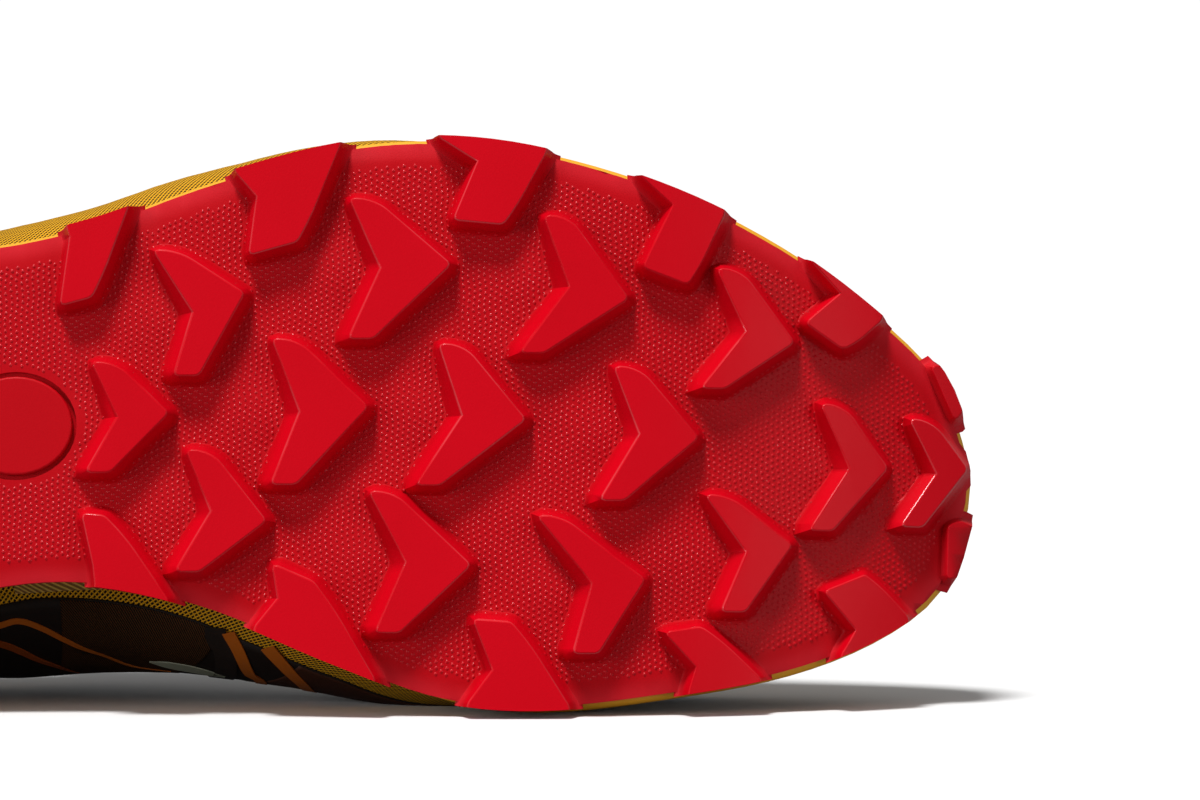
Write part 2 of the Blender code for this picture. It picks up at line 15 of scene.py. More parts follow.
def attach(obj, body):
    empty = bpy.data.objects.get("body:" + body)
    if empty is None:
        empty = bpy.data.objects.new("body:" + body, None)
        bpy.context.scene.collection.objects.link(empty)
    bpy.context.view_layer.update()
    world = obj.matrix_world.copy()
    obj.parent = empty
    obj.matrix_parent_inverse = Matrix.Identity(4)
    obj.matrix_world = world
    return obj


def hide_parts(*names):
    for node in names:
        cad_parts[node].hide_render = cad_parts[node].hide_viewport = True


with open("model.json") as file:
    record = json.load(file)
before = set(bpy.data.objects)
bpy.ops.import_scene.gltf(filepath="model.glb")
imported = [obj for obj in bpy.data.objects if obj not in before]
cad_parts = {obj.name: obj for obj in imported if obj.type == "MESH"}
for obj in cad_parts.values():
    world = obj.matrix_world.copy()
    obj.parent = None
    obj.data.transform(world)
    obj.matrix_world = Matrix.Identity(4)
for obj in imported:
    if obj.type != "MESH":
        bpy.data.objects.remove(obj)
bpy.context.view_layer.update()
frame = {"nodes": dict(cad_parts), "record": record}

mm = 0.001

# The last and the stack that every piece is measured from
last = {
    "length": 300 * mm,
    "ball": 110 * mm,
    "instep": 104 * mm,
    "vamp": 71 * mm,
    "ankle": 80 * mm,
    "heelCollar": 100 * mm,
    "lugDepth": 5 * mm,
    "plate": 3 * mm,
    "heelFoam": 22 * mm,
    "forefootFoam": 11 * mm,
    "toeSpring": 30 * mm,
    "heelBevel": 5 * mm,
    "featherInset": 4.5 * mm,
    "upperWall": 2 * mm,
    "seatGap": 0.3 * mm,
    "overlayGap": 0.45 * mm,
    "heelTip": 0.055,  # share of the ball's width, medial of the middle line
    "toeTip": 0.045,
}

# Half outlines of the sole from heel to toe, as shares of its length and of the ball's width
Station = namedtuple("Station", "along lateral medial")
stations = (
    Station(0.014, -0.110, 0.220),
    Station(0.047, -0.235, 0.340),
    Station(0.094, -0.313, 0.418),
    Station(0.150, -0.340, 0.445),
    Station(0.217, -0.345, 0.400),
    Station(0.287, -0.348, 0.312),
    Station(0.360, -0.360, 0.247),
    Station(0.427, -0.400, 0.236),
    Station(0.500, -0.471, 0.280),
    Station(0.583, -0.532, 0.373),
    Station(0.650, -0.546, 0.438),
    Station(0.717, -0.524, 0.454),
    Station(0.800, -0.458, 0.429),
    Station(0.873, -0.365, 0.391),
    Station(0.933, -0.256, 0.329),
    Station(0.977, -0.148, 0.241),
    Station(0.995, -0.032, 0.118),
)

# Ribs of the upper from heel (0) to toe (1) on each side, from the feather line to the top line.
# Swell, reach and the across columns are shares of the ball, rise and drop of the instep.
Rib = namedtuple("Rib", "at swellLat swellMed rise reach drop along lateral medial height")
ribs = (
    Rib(0.00, 0.040, 0.040, 0.25, 0.040, 0.24, 0.030, 0.055, 0.055, 1.00 * last["heelCollar"]),
    Rib(0.10, 0.050, 0.040, 0.25, 0.060, 0.24, 0.070, -0.110, 0.215, 0.97 * last["heelCollar"]),
    Rib(0.20, 0.060, 0.040, 0.23, 0.075, 0.21, 0.150, -0.215, 0.302, 1.07 * last["ankle"]),
    Rib(0.30, 0.100, 0.155, 0.19, 0.120, 0.17, 0.240, -0.250, 0.290, 1.00 * last["ankle"]),
    Rib(0.38, 0.170, 0.290, 0.18, 0.180, 0.15, 0.320, -0.235, 0.215, 0.87 * last["instep"]),
    Rib(0.45, 0.210, 0.330, 0.17, 0.230, 0.13, 0.373, -0.185, 0.120, 1.00 * last["instep"]),
    Rib(0.52, 0.230, 0.270, 0.17, 0.280, 0.11, 0.433, -0.160, 0.075, 0.93 * last["instep"]),
    Rib(0.60, 0.195, 0.160, 0.17, 0.320, 0.09, 0.483, -0.147, 0.062, 0.85 * last["instep"]),
    Rib(0.70, 0.140, 0.080, 0.17, 0.370, 0.07, 0.533, -0.137, 0.057, 0.78 * last["instep"]),
    Rib(0.80, 0.085, 0.060, 0.17, 0.460, 0.05, 0.580, -0.123, 0.050, 1.07 * last["vamp"]),
    Rib(0.90, 0.060, 0.050, 0.15, 0.600, 0.04, 0.613, -0.090, 0.030, 1.02 * last["vamp"]),
    Rib(1.00, 0.045, 0.045, 0.14, 0.700, 0.04, 0.630, -0.030, -0.030, 1.00 * last["vamp"]),
)


def unitRows(rows):
    return rows / np.linalg.norm(rows, axis=1)[:, None]


def easeBetween(t, first, leaving, second, arriving):
    # A cubic from the first place to the second, with its slopes at both ends
    start = (2 * t ** 3 - 3 * t ** 2 + 1) * first + (t ** 3 - 2 * t ** 2 + t) * leaving
    finish = (3 * t ** 2 - 2 * t ** 3) * second + (t ** 3 - t ** 2) * arriving
    return start + finish


def followLoop(knots, values, wanted):
    # Cubic through values at the knots of a loop of length 1
    knots = np.asarray(knots, float)
    values = np.asarray(values, float)
    wanted = np.atleast_1d(np.asarray(wanted, float))
    count = len(knots)
    local = wanted - np.floor(wanted)
    index = np.searchsorted(knots, local, side="right") - 1
    spots = [index + step for step in (-1, 0, 1, 2)]
    at = [knots[spot % count] + spot // count for spot in spots]
    value = [values[spot % count] for spot in spots]
    span = at[2] - at[1]
    t = ((local - at[1]) / span)[:, None]
    slopeIn = (value[2] - value[0]) / (at[2] - at[0])[:, None] * span[:, None]
    slopeOut = (value[3] - value[1]) / (at[3] - at[1])[:, None] * span[:, None]
    return easeBetween(t, value[1], slopeIn, value[2], slopeOut)


def walkOutline():
    # The sole's outline as a fine loop, with how far along it each point and the toe tip lie
    heel = (0.0, last["heelTip"] * last["ball"])
    toe = (last["length"], last["toeTip"] * last["ball"])
    lateral = [(s.along * last["length"], s.lateral * last["ball"]) for s in stations]
    medial = [(s.along * last["length"], s.medial * last["ball"]) for s in reversed(stations)]
    points = np.array([heel] + lateral + [toe] + medial)
    steps = np.linalg.norm(np.roll(points, -1, axis=0) - points, axis=1) ** 0.5
    knots = np.concatenate([[0.0], np.cumsum(steps)[:-1]]) / steps.sum()
    fine = 2400
    loop = followLoop(knots, points, np.arange(fine) / fine)
    lengths = np.linalg.norm(np.roll(loop, -1, axis=0) - loop, axis=1)
    travelled = np.concatenate([[0.0], np.cumsum(lengths)])
    toeTravel = np.interp(knots[len(stations) + 1] * fine, np.arange(fine + 1), travelled)
    tangent = np.roll(loop, -8, axis=0) - np.roll(loop, 8, axis=0)
    outward = unitRows(np.column_stack([tangent[:, 1], -tangent[:, 0]]))
    return np.vstack([loop, loop[:1]]), np.vstack([outward, outward[:1]]), travelled, toeTravel


outlineLoop, outlineFacing, outlineTravel, toeTravel = walkOutline()


def outlineAt(turn):
    # Where the outline lies at a share of its turn, and which way is out
    local = np.asarray(turn, float) % 1.0
    total = outlineTravel[-1]
    travel = np.interp(local, [0, 0.5, 1], [0, toeTravel, total])
    place = np.column_stack([np.interp(travel, outlineTravel, outlineLoop[:, i]) for i in (0, 1)])
    facing = np.column_stack([np.interp(travel, outlineTravel, outlineFacing[:, i]) for i in (0, 1)])
    return place, unitRows(facing)


def lift(along):
    # The toe's spring and the heel's bevel
    flatTo = 2 / 3 * last["length"]
    flatFrom = 0.13 * last["length"]
    toe = np.maximum(along - flatTo, 0) / (last["length"] - flatTo)
    heel = np.maximum(flatFrom - along, 0) / flatFrom
    return last["toeSpring"] * toe ** 2.5 + last["heelBevel"] * heel ** 2


def foamHeight(along):
    share = np.clip((along / last["length"] - 0.25) / 0.45, 0, 1)
    return last["heelFoam"] + (last["forefootFoam"] - last["heelFoam"]) * share ** 2 * (3 - 2 * share)


foamBottom = last["lugDepth"] + last["plate"] + last["seatGap"]


def foamTop(along):
    return foamBottom + foamHeight(along) + lift(along)


def ribKnots():
    knots = []
    values = []
    for rib in ribs:
        knots.append(rib.at / 2)
        values.append((rib.swellLat, rib.rise, rib.reach, rib.drop, rib.along, rib.lateral, rib.height))
    for rib in reversed(ribs[1:-1]):
        knots.append(1 - rib.at / 2)
        values.append((rib.swellMed, rib.rise, rib.reach, rib.drop, rib.along, rib.medial, rib.height))
    return knots, values


ribPlaces, ribShapes = ribKnots()


def upperAt(turn, share):
    # Outer face of the upper at a share of its turn and a share of its rib's height
    turn = np.atleast_1d(np.asarray(turn, float))
    share = np.atleast_1d(np.asarray(share, float))[:, None]
    place, facing = outlineAt(turn)
    swell, rise, reach, drop, along, across, height = followLoop(ribPlaces, ribShapes, turn).T
    out = np.column_stack([facing, np.zeros(len(turn))])
    up = np.array([[0.0, 0.0, 1.0]])
    foot = place - facing * last["featherInset"]
    feather = np.column_stack([foot, foamTop(foot[:, 0]) + last["seatGap"]])
    top = np.column_stack([along * last["length"], across * last["ball"], height])
    low = feather + out * (swell * last["ball"])[:, None] + up * (rise * last["instep"])[:, None]
    high = top + out * (reach * last["ball"])[:, None] - up * (drop * last["instep"])[:, None]
    rest = 1 - share
    lower = rest ** 3 * feather + 3 * rest ** 2 * share * low
    return lower + 3 * rest * share ** 2 * high + share ** 3 * top


def upperFacing(turn, share):
    turn = np.atleast_1d(np.asarray(turn, float))
    share = np.atleast_1d(np.asarray(share, float))
    upward = upperAt(turn, np.minimum(share + 0.02, 1)) - upperAt(turn, np.maximum(share - 0.02, 0))
    onward = upperAt(turn + 0.008, share) - upperAt(turn - 0.008, share)
    return unitRows(np.cross(onward, upward))


# Soft troughs (below zero) and ridges of the cloth, each from one place on the upper to another
Fold = namedtuple("Fold", "turnFrom shareFrom turnTo shareTo width height")
folds = (
    Fold(0.345, 0.34, 0.395, 0.80, 4.5 * mm, -1.4 * mm),
    Fold(0.362, 0.30, 0.415, 0.78, 4.0 * mm, 0.7 * mm),
    Fold(0.380, 0.32, 0.432, 0.86, 4.2 * mm, -1.1 * mm),
    Fold(0.655, 0.34, 0.605, 0.80, 4.5 * mm, -1.3 * mm),
    Fold(0.638, 0.30, 0.585, 0.78, 4.0 * mm, 0.7 * mm),
    Fold(0.620, 0.34, 0.568, 0.86, 4.2 * mm, -1.0 * mm),
    Fold(0.210, 0.50, 0.150, 0.80, 5.0 * mm, -1.2 * mm),
    Fold(0.235, 0.42, 0.185, 0.66, 4.5 * mm, 0.6 * mm),
    Fold(0.790, 0.50, 0.850, 0.80, 5.0 * mm, -1.1 * mm),
    Fold(0.793, 0.215, 0.765, 0.265, 2.2 * mm, -0.6 * mm),
    Fold(0.740, 0.42, 0.790, 0.62, 5.0 * mm, -0.9 * mm),
    Fold(0.115, 0.60, 0.105, 0.88, 5.5 * mm, -0.9 * mm),
    Fold(0.885, 0.60, 0.895, 0.88, 5.5 * mm, -0.9 * mm),
    Fold(0.075, 0.24, 0.262, 0.24, 17.0 * mm, 4.2 * mm),
    Fold(0.272, 0.20, 0.335, 0.14, 12.0 * mm, 2.0 * mm),
    Fold(0.470, 0.30, 0.462, 0.74, 6.0 * mm, -0.7 * mm),
    Fold(0.530, 0.36, 0.540, 0.80, 6.0 * mm, -0.6 * mm),
)
foldShares = np.linspace(0, 1, 25)
foldLines = [upperAt(fold.turnFrom + (fold.turnTo - fold.turnFrom) * foldShares,
                     fold.shareFrom + (fold.shareTo - fold.shareFrom) * foldShares) for fold in folds]


def foldRise(points):
    rise = np.zeros(len(points))
    fade = np.sin(pi * np.clip(foldShares, 0.04, 0.96)) ** 0.7
    for fold, line in zip(folds, foldLines):
        away = np.linalg.norm(points[:, None] - line[None], axis=2)
        rise += fold.height * (fade * np.exp(-(away / fold.width) ** 2)).max(axis=1)
    return rise


def besideUpper(turn, share, distance):
    place = upperAt(turn, share)
    distance = np.atleast_1d(np.asarray(distance, float)) + foldRise(place)
    return place + upperFacing(turn, share) * distance[:, None]


def smoothLine(points, count):
    # A rounded line through the points
    points = np.asarray(points, float)
    padded = np.vstack([2 * points[0] - points[1], points, 2 * points[-1] - points[-2]])
    spots = np.linspace(0, len(points) - 1.0001, count)
    index = spots.astype(int)
    t = (spots - index)[:, None]
    a, b, c, d = (padded[index + step] for step in range(4))
    bent = (2 * a - 5 * b + 4 * c - d) * t ** 2 + (3 * b - a - 3 * c + d) * t ** 3
    return 0.5 * (2 * b + (c - a) * t + bent)


def ribLength(turn):
    steps = upperAt(np.full(41, turn), np.linspace(0, 1, 41))
    return float(np.linalg.norm(np.diff(steps, axis=0), axis=1).sum())


# Where the shoe lies in the frame: its up is the tread's axis turned round, and its heel tip is the
# hindmost point of the outsole
treadAxis = -Vector(frame["record"]["mounts"][0]["axis"])
alongAxis = Vector((-treadAxis.z, 0, treadAxis.x)).normalized()
acrossAxis = treadAxis.cross(alongAxis)
soleSpots = [vert.co for vert in frame["nodes"]["outsole"].data.vertices]
heelSpot = min(soleSpots, key=lambda spot: spot.dot(alongAxis))
groundLevel = min(spot.dot(treadAxis) for spot in soleSpots)
heelAcross = heelSpot.dot(acrossAxis) - last["heelTip"] * last["ball"]
axes = Matrix((alongAxis, acrossAxis, treadAxis)).transposed()
shoeOrigin = axes @ Vector((heelSpot.dot(alongAxis), heelAcross, groundLevel))
layDown = Matrix.Translation(shoeOrigin) @ axes.to_4x4()
print("shoe laid down at", [round(value / mm, 2) for value in shoeOrigin])


def meshFrom(name, bm):
    mesh = bpy.data.meshes.new(name)
    bm.to_mesh(mesh)
    bm.free()
    return mesh


def newObject(name, data):
    thing = bpy.data.objects.new(name, data)
    bpy.context.scene.collection.objects.link(thing)
    return thing


def looseObject(name, bm):
    return newObject(name, meshFrom(name, bm))


def addPiece(name, bm, material, stands=(), crisp=0):
    # A finished mesh in place on the frame, riding on the shoe's one body
    mesh = meshFrom(name, bm)
    mesh.transform(layDown)
    mesh.shade_smooth()
    mesh.materials.append(material)
    if crisp:
        mesh.set_sharp_from_angle(angle=radians(crisp))
    piece = newObject(name, mesh)
    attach(piece, "root")
    for node in stands:
        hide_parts(node)
    return piece


def joinWith(target, other, operation):
    # Boolean of two loose objects, applied at once
    modifier = target.modifiers.new(operation.lower(), "BOOLEAN")
    modifier.operation = operation
    modifier.object = other
    modifier.solver = "EXACT"
    modifier.use_self = True
    graph = bpy.context.evaluated_depsgraph_get()
    result = bpy.data.meshes.new_from_object(target.evaluated_get(graph))
    target.modifiers.clear()
    target.data = result
    bpy.data.objects.remove(other)


def takeMesh(loose):
    bm = bmesh.new()
    bm.from_mesh(loose.data)
    bpy.data.objects.remove(loose)
    return bm


def makeSheet(uCount, vCount, placeAt, closed=False):
    # A grid whose points are placed by their shares along its two sides; closed joins what meets
    bm = bmesh.new()
    bm.loops.layers.uv.new("UVMap")
    bmesh.ops.create_grid(bm, x_segments=uCount, y_segments=vCount, size=0.5, calc_uvs=True)
    u = np.array([vert.co.x + 0.5 for vert in bm.verts])
    v = np.array([vert.co.y + 0.5 for vert in bm.verts])
    for vert, point in zip(bm.verts, placeAt(u, v)):
        vert.co = point
    if closed:
        bmesh.ops.remove_doubles(bm, verts=bm.verts, dist=1e-6)
    return bm


def rollSheet(uCount, vCount, placeAt):
    # A closed section carried along a line, its two ends filled in
    bm = makeSheet(uCount, vCount, placeAt, closed=True)
    bmesh.ops.holes_fill(bm, edges=[edge for edge in bm.edges if edge.is_boundary])
    bmesh.ops.recalc_face_normals(bm, faces=bm.faces)
    return bm


def standAt(spot, facing):
    # Where a shape made upright at the origin stands at a spot, its top facing a way
    return Matrix.Translation(spot) @ Vector(facing).to_track_quat("Z", "Y").to_matrix().to_4x4()


def gather(parts):
    # Several meshes as one
    whole = bmesh.new()
    for part in parts:
        mesh = meshFrom("part", part)
        whole.from_mesh(mesh)
        bpy.data.meshes.remove(mesh)
    return whole


def addWall(piece, thickness, side, rim=0):
    wall = piece.modifiers.new("wall", "SOLIDIFY")
    wall.thickness = thickness
    wall.offset = side
    wall.use_even_offset = True
    if rim:
        edge = piece.modifiers.new("rim", "BEVEL")
        edge.width = rim
        edge.segments = 2
        edge.limit_method = "ANGLE"
        edge.angle_limit = radians(50)


def cutAcross(bm, step, axis=0, reach=None):
    # Cuts a solid into strips so that it can bend
    normal = [0, 0, 0]
    normal[axis] = 1
    low, high = reach or (0, last["length"])
    for i in range(1, int((high - low) / step)):
        place = [0, 0, 0]
        place[axis] = low + i * step
        whole = bm.verts[:] + bm.edges[:] + bm.faces[:]
        bmesh.ops.bisect_plane(bm, geom=whole, dist=1e-6, plane_co=place, plane_no=normal)


# Materials: groups give masks, heights and values, and each material holds its own shader


def newGroup(name, values, outputs):
    # A group that takes a vector and some values, and gives numbers
    group = bpy.data.node_groups.new(name, "ShaderNodeTree")
    group.interface.new_socket("Vector", in_out="INPUT", socket_type="NodeSocketVector")
    for label, value in values.items():
        socket = group.interface.new_socket(label, in_out="INPUT", socket_type="NodeSocketFloat")
        socket.default_value = value
    for label in outputs:
        group.interface.new_socket(label, in_out="OUTPUT", socket_type="NodeSocketFloat")
    return group, group.nodes.new("NodeGroupInput"), group.nodes.new("NodeGroupOutput")


def addNode(tree, kind, settings=None, links=None, values=None):
    node = tree.nodes.new(kind)
    for key, value in (settings or {}).items():
        setattr(node, key, value)
    for key, value in (values or {}).items():
        node.inputs[key].default_value = value
    for key, source in (links or {}).items():
        tree.links.new(source, node.inputs[key])
    return node


def mathNode(tree, operation, *items):
    node = addNode(tree, "ShaderNodeMath", {"operation": operation})
    for socket, item in zip(node.inputs, items):
        if isinstance(item, (int, float)):
            socket.default_value = item
        else:
            tree.links.new(item, socket)
    return node.outputs[0]


def spread(tree, value, low=0.0, high=1.0, toLow=0.0, toHigh=1.0, kind="SMOOTHSTEP"):
    # A value carried from one range to another
    node = addNode(tree, "ShaderNodeMapRange", {"interpolation_type": kind}, {"Value": value},
                   {"From Min": low, "From Max": high, "To Min": toLow, "To Max": toHigh})
    return node.outputs["Result"]


def mixColor(tree, factor, first, second):
    node = addNode(tree, "ShaderNodeMix", {"data_type": "RGBA"})
    for socket, item in ((node.inputs[0], factor), (node.inputs[6], first), (node.inputs[7], second)):
        if isinstance(item, (int, float)):
            socket.default_value = item
        elif isinstance(item, tuple):
            socket.default_value = (*item, 1)
        else:
            tree.links.new(item, socket)
    return node.outputs[2]


def newMaterial(name, settings):
    material = bpy.data.materials.new(name)
    material.use_nodes = True
    tree = material.node_tree
    shader = tree.nodes["Principled BSDF"]
    for key, value in settings.items():
        shader.inputs[key].default_value = value
    return material, tree, shader


def addBump(tree, shader, height, distance):
    bump = addNode(tree, "ShaderNodeBump", None, {"Height": height}, {"Distance": distance})
    tree.links.new(bump.outputs["Normal"], shader.inputs["Normal"])


def makeGrainGroup():
    # Fine and broad noise: a height for bump, and patches for colour and gloss
    group, start, end = newGroup("grain", {"Fine": 1200.0, "Broad": 60.0}, ("Height", "Patches"))
    for scale, output, detail, rough in (("Fine", "Height", 3.0, 0.6), ("Broad", "Patches", 4.0, 0.55)):
        noise = addNode(group, "ShaderNodeTexNoise", None,
                        {"Vector": start.outputs["Vector"], "Scale": start.outputs[scale]},
                        {"Detail": detail, "Roughness": rough})
        group.links.new(noise.outputs["Fac"], end.inputs[output])
    return group


def makeWeaveGroup():
    # Two sets of threads crossing on the piece's own UV map
    group, start, end = newGroup("weave", {"Across": 400.0, "Up": 80.0, "Slant": 1.0, "Second": 1.0},
                                 ("Height", "Thread"))
    parts = addNode(group, "ShaderNodeSeparateXYZ", None, {"Vector": start.outputs["Vector"]})
    across = mathNode(group, "MULTIPLY", parts.outputs["X"], start.outputs["Across"])
    upward = mathNode(group, "MULTIPLY", parts.outputs["Y"], start.outputs["Up"])
    slanted = mathNode(group, "MULTIPLY", upward, start.outputs["Slant"])
    first = mathNode(group, "ADD", across, slanted)
    second = mathNode(group, "SUBTRACT", across, slanted)
    waves = []
    for source in (first, second):
        wave = mathNode(group, "SINE", mathNode(group, "MULTIPLY", source, 2 * pi))
        waves.append(mathNode(group, "MULTIPLY_ADD", wave, 0.5, 0.5))
    weaker = mathNode(group, "MULTIPLY", waves[1], start.outputs["Second"])
    peak = mathNode(group, "MAXIMUM", waves[0], weaker)
    group.links.new(peak, end.inputs["Height"])
    group.links.new(spread(group, peak, 0.45, 0.8), end.inputs["Thread"])
    return group


grainGroup = makeGrainGroup()
weaveGroup = makeWeaveGroup()


def placeGroup(tree, group, space, values):
    # A group on the piece's own coordinates, as the outputs it gives
    place = addNode(tree, "ShaderNodeTexCoord").outputs[space]
    return addNode(tree, "ShaderNodeGroup", {"node_tree": group}, {"Vector": place}, values).outputs


def grainOn(tree, fine, broad):
    grain = placeGroup(tree, grainGroup, "Object", {"Fine": fine, "Broad": broad})
    return grain["Height"], grain["Patches"]


# Relief runs from the lugs' faces (0) to the ground (1), and a range may run downwards
rubberLook = {
    "faces": ((0.56, 0.0, 0.006), (0.64, 0.0, 0.009)),
    # the ground is darker than the faces, partly as painted shade between the lugs
    "ground": (0.49, 0.0, 0.005),
    "groundRelief": (0.30, 1.0),
    "shoreHighlight": (0.62, 0.012, 0.022),  # painted highlight on the ground beside the sole's edge
    "shoreHighlightShare": (0.75, 0.15, 0.0, 0.85),
    # a paler colour on the lugs' rims, in patches: a painted highlight
    "wearAndHighlight": (0.80, 0.16, 0.18),
    "rimHighlightShare": 0.26,
    "rimHighlightPatches": (0.35, 0.65),
    "rimBelow": (0.12, 0.05),  # a lug's rim lies between these two
    "rimAbove": (0.020, 0.034),
    "rimCoat": (0.03, 0.7),
    "roughness": (0.40, 0.52),
}


def rubberMaterial():
    # Satin crimson rubber: deeper in colour between the lugs, partly as painted shade, with a painted
    # highlight on the ground along the sole's edge and painted highlights in patches on the lugs' rims
    material, tree, shader = newMaterial("satinRubber", {
        "Specular IOR Level": 0.10, "Coat Roughness": 0.18})
    height, patches = grainOn(tree, 2600.0, 45.0)
    relief, inland = [addNode(tree, "ShaderNodeAttribute", {"attribute_name": name}).outputs["Fac"]
                      for name in ("relief", "inland")]
    deep = spread(tree, relief, *rubberLook["groundRelief"])
    face = mixColor(tree, patches, *rubberLook["faces"])
    # the ground takes a darker colour than the faces, partly as painted shade between the lugs
    ground = mixColor(tree, deep, face, rubberLook["ground"])
    # a painted highlight on the ground along the sole's edge
    shoreHighlight = mathNode(tree, "MULTIPLY", spread(tree, inland, *rubberLook["shoreHighlightShare"]), deep)
    shoreHighlightColor = mixColor(tree, shoreHighlight, ground, rubberLook["shoreHighlight"])
    rim = mathNode(tree, "MULTIPLY", spread(tree, relief, *rubberLook["rimBelow"]),
                   spread(tree, relief, *rubberLook["rimAbove"]))
    # a painted highlight on the lugs' rims, broken into patches
    rimHighlightMask = mathNode(tree, "MULTIPLY", rim, spread(tree, patches, *rubberLook["rimHighlightPatches"]))
    rimHighlightShare = mathNode(tree, "MULTIPLY", rimHighlightMask, rubberLook["rimHighlightShare"])
    color = mixColor(tree, rimHighlightShare, shoreHighlightColor, rubberLook["wearAndHighlight"])
    coat = spread(tree, rim, 0, 1, *rubberLook["rimCoat"], "LINEAR")
    rough = spread(tree, deep, 0, 1, *rubberLook["roughness"], "LINEAR")
    for label, source in (("Base Color", color), ("Coat Weight", coat), ("Roughness", rough)):
        tree.links.new(source, shader.inputs[label])
    addBump(tree, shader, height, 0.03 * mm)
    return material


def dotMaterial():
    # The ground's small raised dots: shinier, so that they glint
    material, tree, shader = newMaterial("dotRubber", {
        "Roughness": 0.34, "Specular IOR Level": 0.16, "Coat Weight": 0.12, "Coat Roughness": 0.12})
    height, _ = grainOn(tree, 900.0, 60.0)
    color = mixColor(tree, height, (0.46, 0.0, 0.005), (0.58, 0.002, 0.010))
    tree.links.new(color, shader.inputs["Base Color"])
    return material


def foamMaterial():
    material, tree, shader = newMaterial("yellowFoam", {"Roughness": 0.6})
    height, patches = grainOn(tree, 1600.0, 30.0)
    color = mixColor(tree, patches, (0.80, 0.36, 0.01), (0.88, 0.44, 0.02))
    tree.links.new(color, shader.inputs["Base Color"])
    addBump(tree, shader, height, 0.08 * mm)
    return material


def wovenMaterial(name, gap, thread, settings, weaveSettings, deep=0.25 * mm):
    # Threads over a darker backing, on the piece's own UV map
    material, tree, shader = newMaterial(name, {"Roughness": 0.8, **settings})
    weave = placeGroup(tree, weaveGroup, "UV", weaveSettings)
    height, patches = grainOn(tree, 1500.0, 70.0)
    wearAndHighlight = mixColor(tree, patches, thread, tuple(0.72 * part for part in thread))
    tree.links.new(mixColor(tree, weave["Thread"], gap, wearAndHighlight), shader.inputs["Base Color"])
    nap = mathNode(tree, "MULTIPLY", height, 0.25)
    addBump(tree, shader, mathNode(tree, "ADD", weave["Height"], nap), deep)
    return material


def filmMaterial(name, first, second, rough=0.5):
    material, tree, shader = newMaterial(name, {"Specular IOR Level": 0.25})
    height, patches = grainOn(tree, 1800.0, 40.0)
    tree.links.new(mixColor(tree, patches, first, second), shader.inputs["Base Color"])
    gloss = spread(tree, patches, 0, 1, rough - 0.06, rough + 0.10, "LINEAR")
    tree.links.new(gloss, shader.inputs["Roughness"])
    addBump(tree, shader, height, 0.05 * mm)
    return material


satinRubber = rubberMaterial()
dotRubber = dotMaterial()
yellowFoam = foamMaterial()
goldenMesh = wovenMaterial("goldenMesh", (0.012, 0.005, 0.002), (1.0, 0.50, 0.012),
                           {"Specular IOR Level": 0.2},
                           {"Across": 640.0, "Up": 82.0, "Slant": -1.0, "Second": 0.72})
paleMesh = wovenMaterial("paleMesh", (0.25, 0.12, 0.02), (0.86, 0.56, 0.10),
                         {"Sheen Weight": 0.1}, {"Across": 14.0, "Up": 2.0, "Second": 0.4})
brownWeave = wovenMaterial("brownWeave", (0.008, 0.003, 0.001), (0.10, 0.038, 0.010),
                           {"Specular IOR Level": 0.15}, {"Across": 60.0, "Up": 38.0, "Second": 0.3},
                           0.12 * mm)
duskFilm = filmMaterial("duskFilm", (0.038, 0.010, 0.004), (0.050, 0.014, 0.005), 0.6)
nightFilm = filmMaterial("nightFilm", (0.006, 0.003, 0.002), (0.012, 0.006, 0.004), 0.6)
darkKnit = wovenMaterial("darkKnit", (0.012, 0.011, 0.011), (0.045, 0.04, 0.04),
                         {"Roughness": 0.9, "Sheen Weight": 0.2}, {"Across": 150.0, "Up": 40.0})
laceCord = wovenMaterial("laceCord", (0.010, 0.007, 0.006), (0.060, 0.040, 0.034),
                         {"Sheen Weight": 0.1}, {"Across": 34.0, "Up": 4.0}, 0.3 * mm)
darkFilm = filmMaterial("darkFilm", (0.010, 0.007, 0.006), (0.022, 0.013, 0.010))
orangeFilm = filmMaterial("orangeFilm", (0.40, 0.085, 0.006), (0.46, 0.12, 0.010), 0.42)
emberFilm = filmMaterial("emberFilm", (0.22, 0.040, 0.004), (0.26, 0.052, 0.005), 0.45)
greyFilm = filmMaterial("greyFilm", (0.34, 0.36, 0.27), (0.42, 0.44, 0.33), 0.55)
goldThread = filmMaterial("goldThread", (0.50, 0.26, 0.03), (0.60, 0.32, 0.05), 0.7)
print("materials made")


# Outsole

treadSizes = {
    "reach": 15 * mm,  # what the lug tables' shares are of
    "draft": 0.7 * mm,
    "shift": 1.4 * mm,  # how far the chevrons lie medial of their table
    "armEnd": 5.6 * mm,
    "cornerRadius": 0.7 * mm,
    "shoulderRadius": 3.2 * mm,  # the rounded corner at an arm's outer end
    "plateInset": 0.3 * mm,  # how far the plate's edge lies inside the outline
    "proud": 0.6 * mm,  # how far edge lugs stand out of the plate
    "bandWidth": 6 * mm,
    "bandDrop": 1.0 * mm,
    "edgeOverhang": 4 * mm,  # how far edge lugs are drawn past the outline before they are trimmed
    "lateralMore": 1.0 * mm,
    "chamfer": (0.35, 0.72),  # an edge lug's toe-side corner, as shares of its two sides
    "groundStep": 3 * mm,
    "bendStep": 5 * mm,
    "toeStep": 2.2 * mm,  # how much lower the small toe lugs are
    "toeProud": 2.0 * mm,
    "toeDraft": 0.9 * mm,
    "flare": 1.9 * mm,  # how much wider the walls round a chevron's notch run
}

# How a lug's wall runs out from its face and into the shoe, as steps of (out, in) in millimetres
lugWall = (
    (0.10, 0.02), (0.16, 0.10), (0.12, 0.22),
    (0.90, 2.50),
    (0.14, 0.66), (0.18, 0.56), (0.24, 0.44), (0.30, 0.34), (0.36, 0.28), (0.40, 0.22),
    (0.06, 0.45),
)

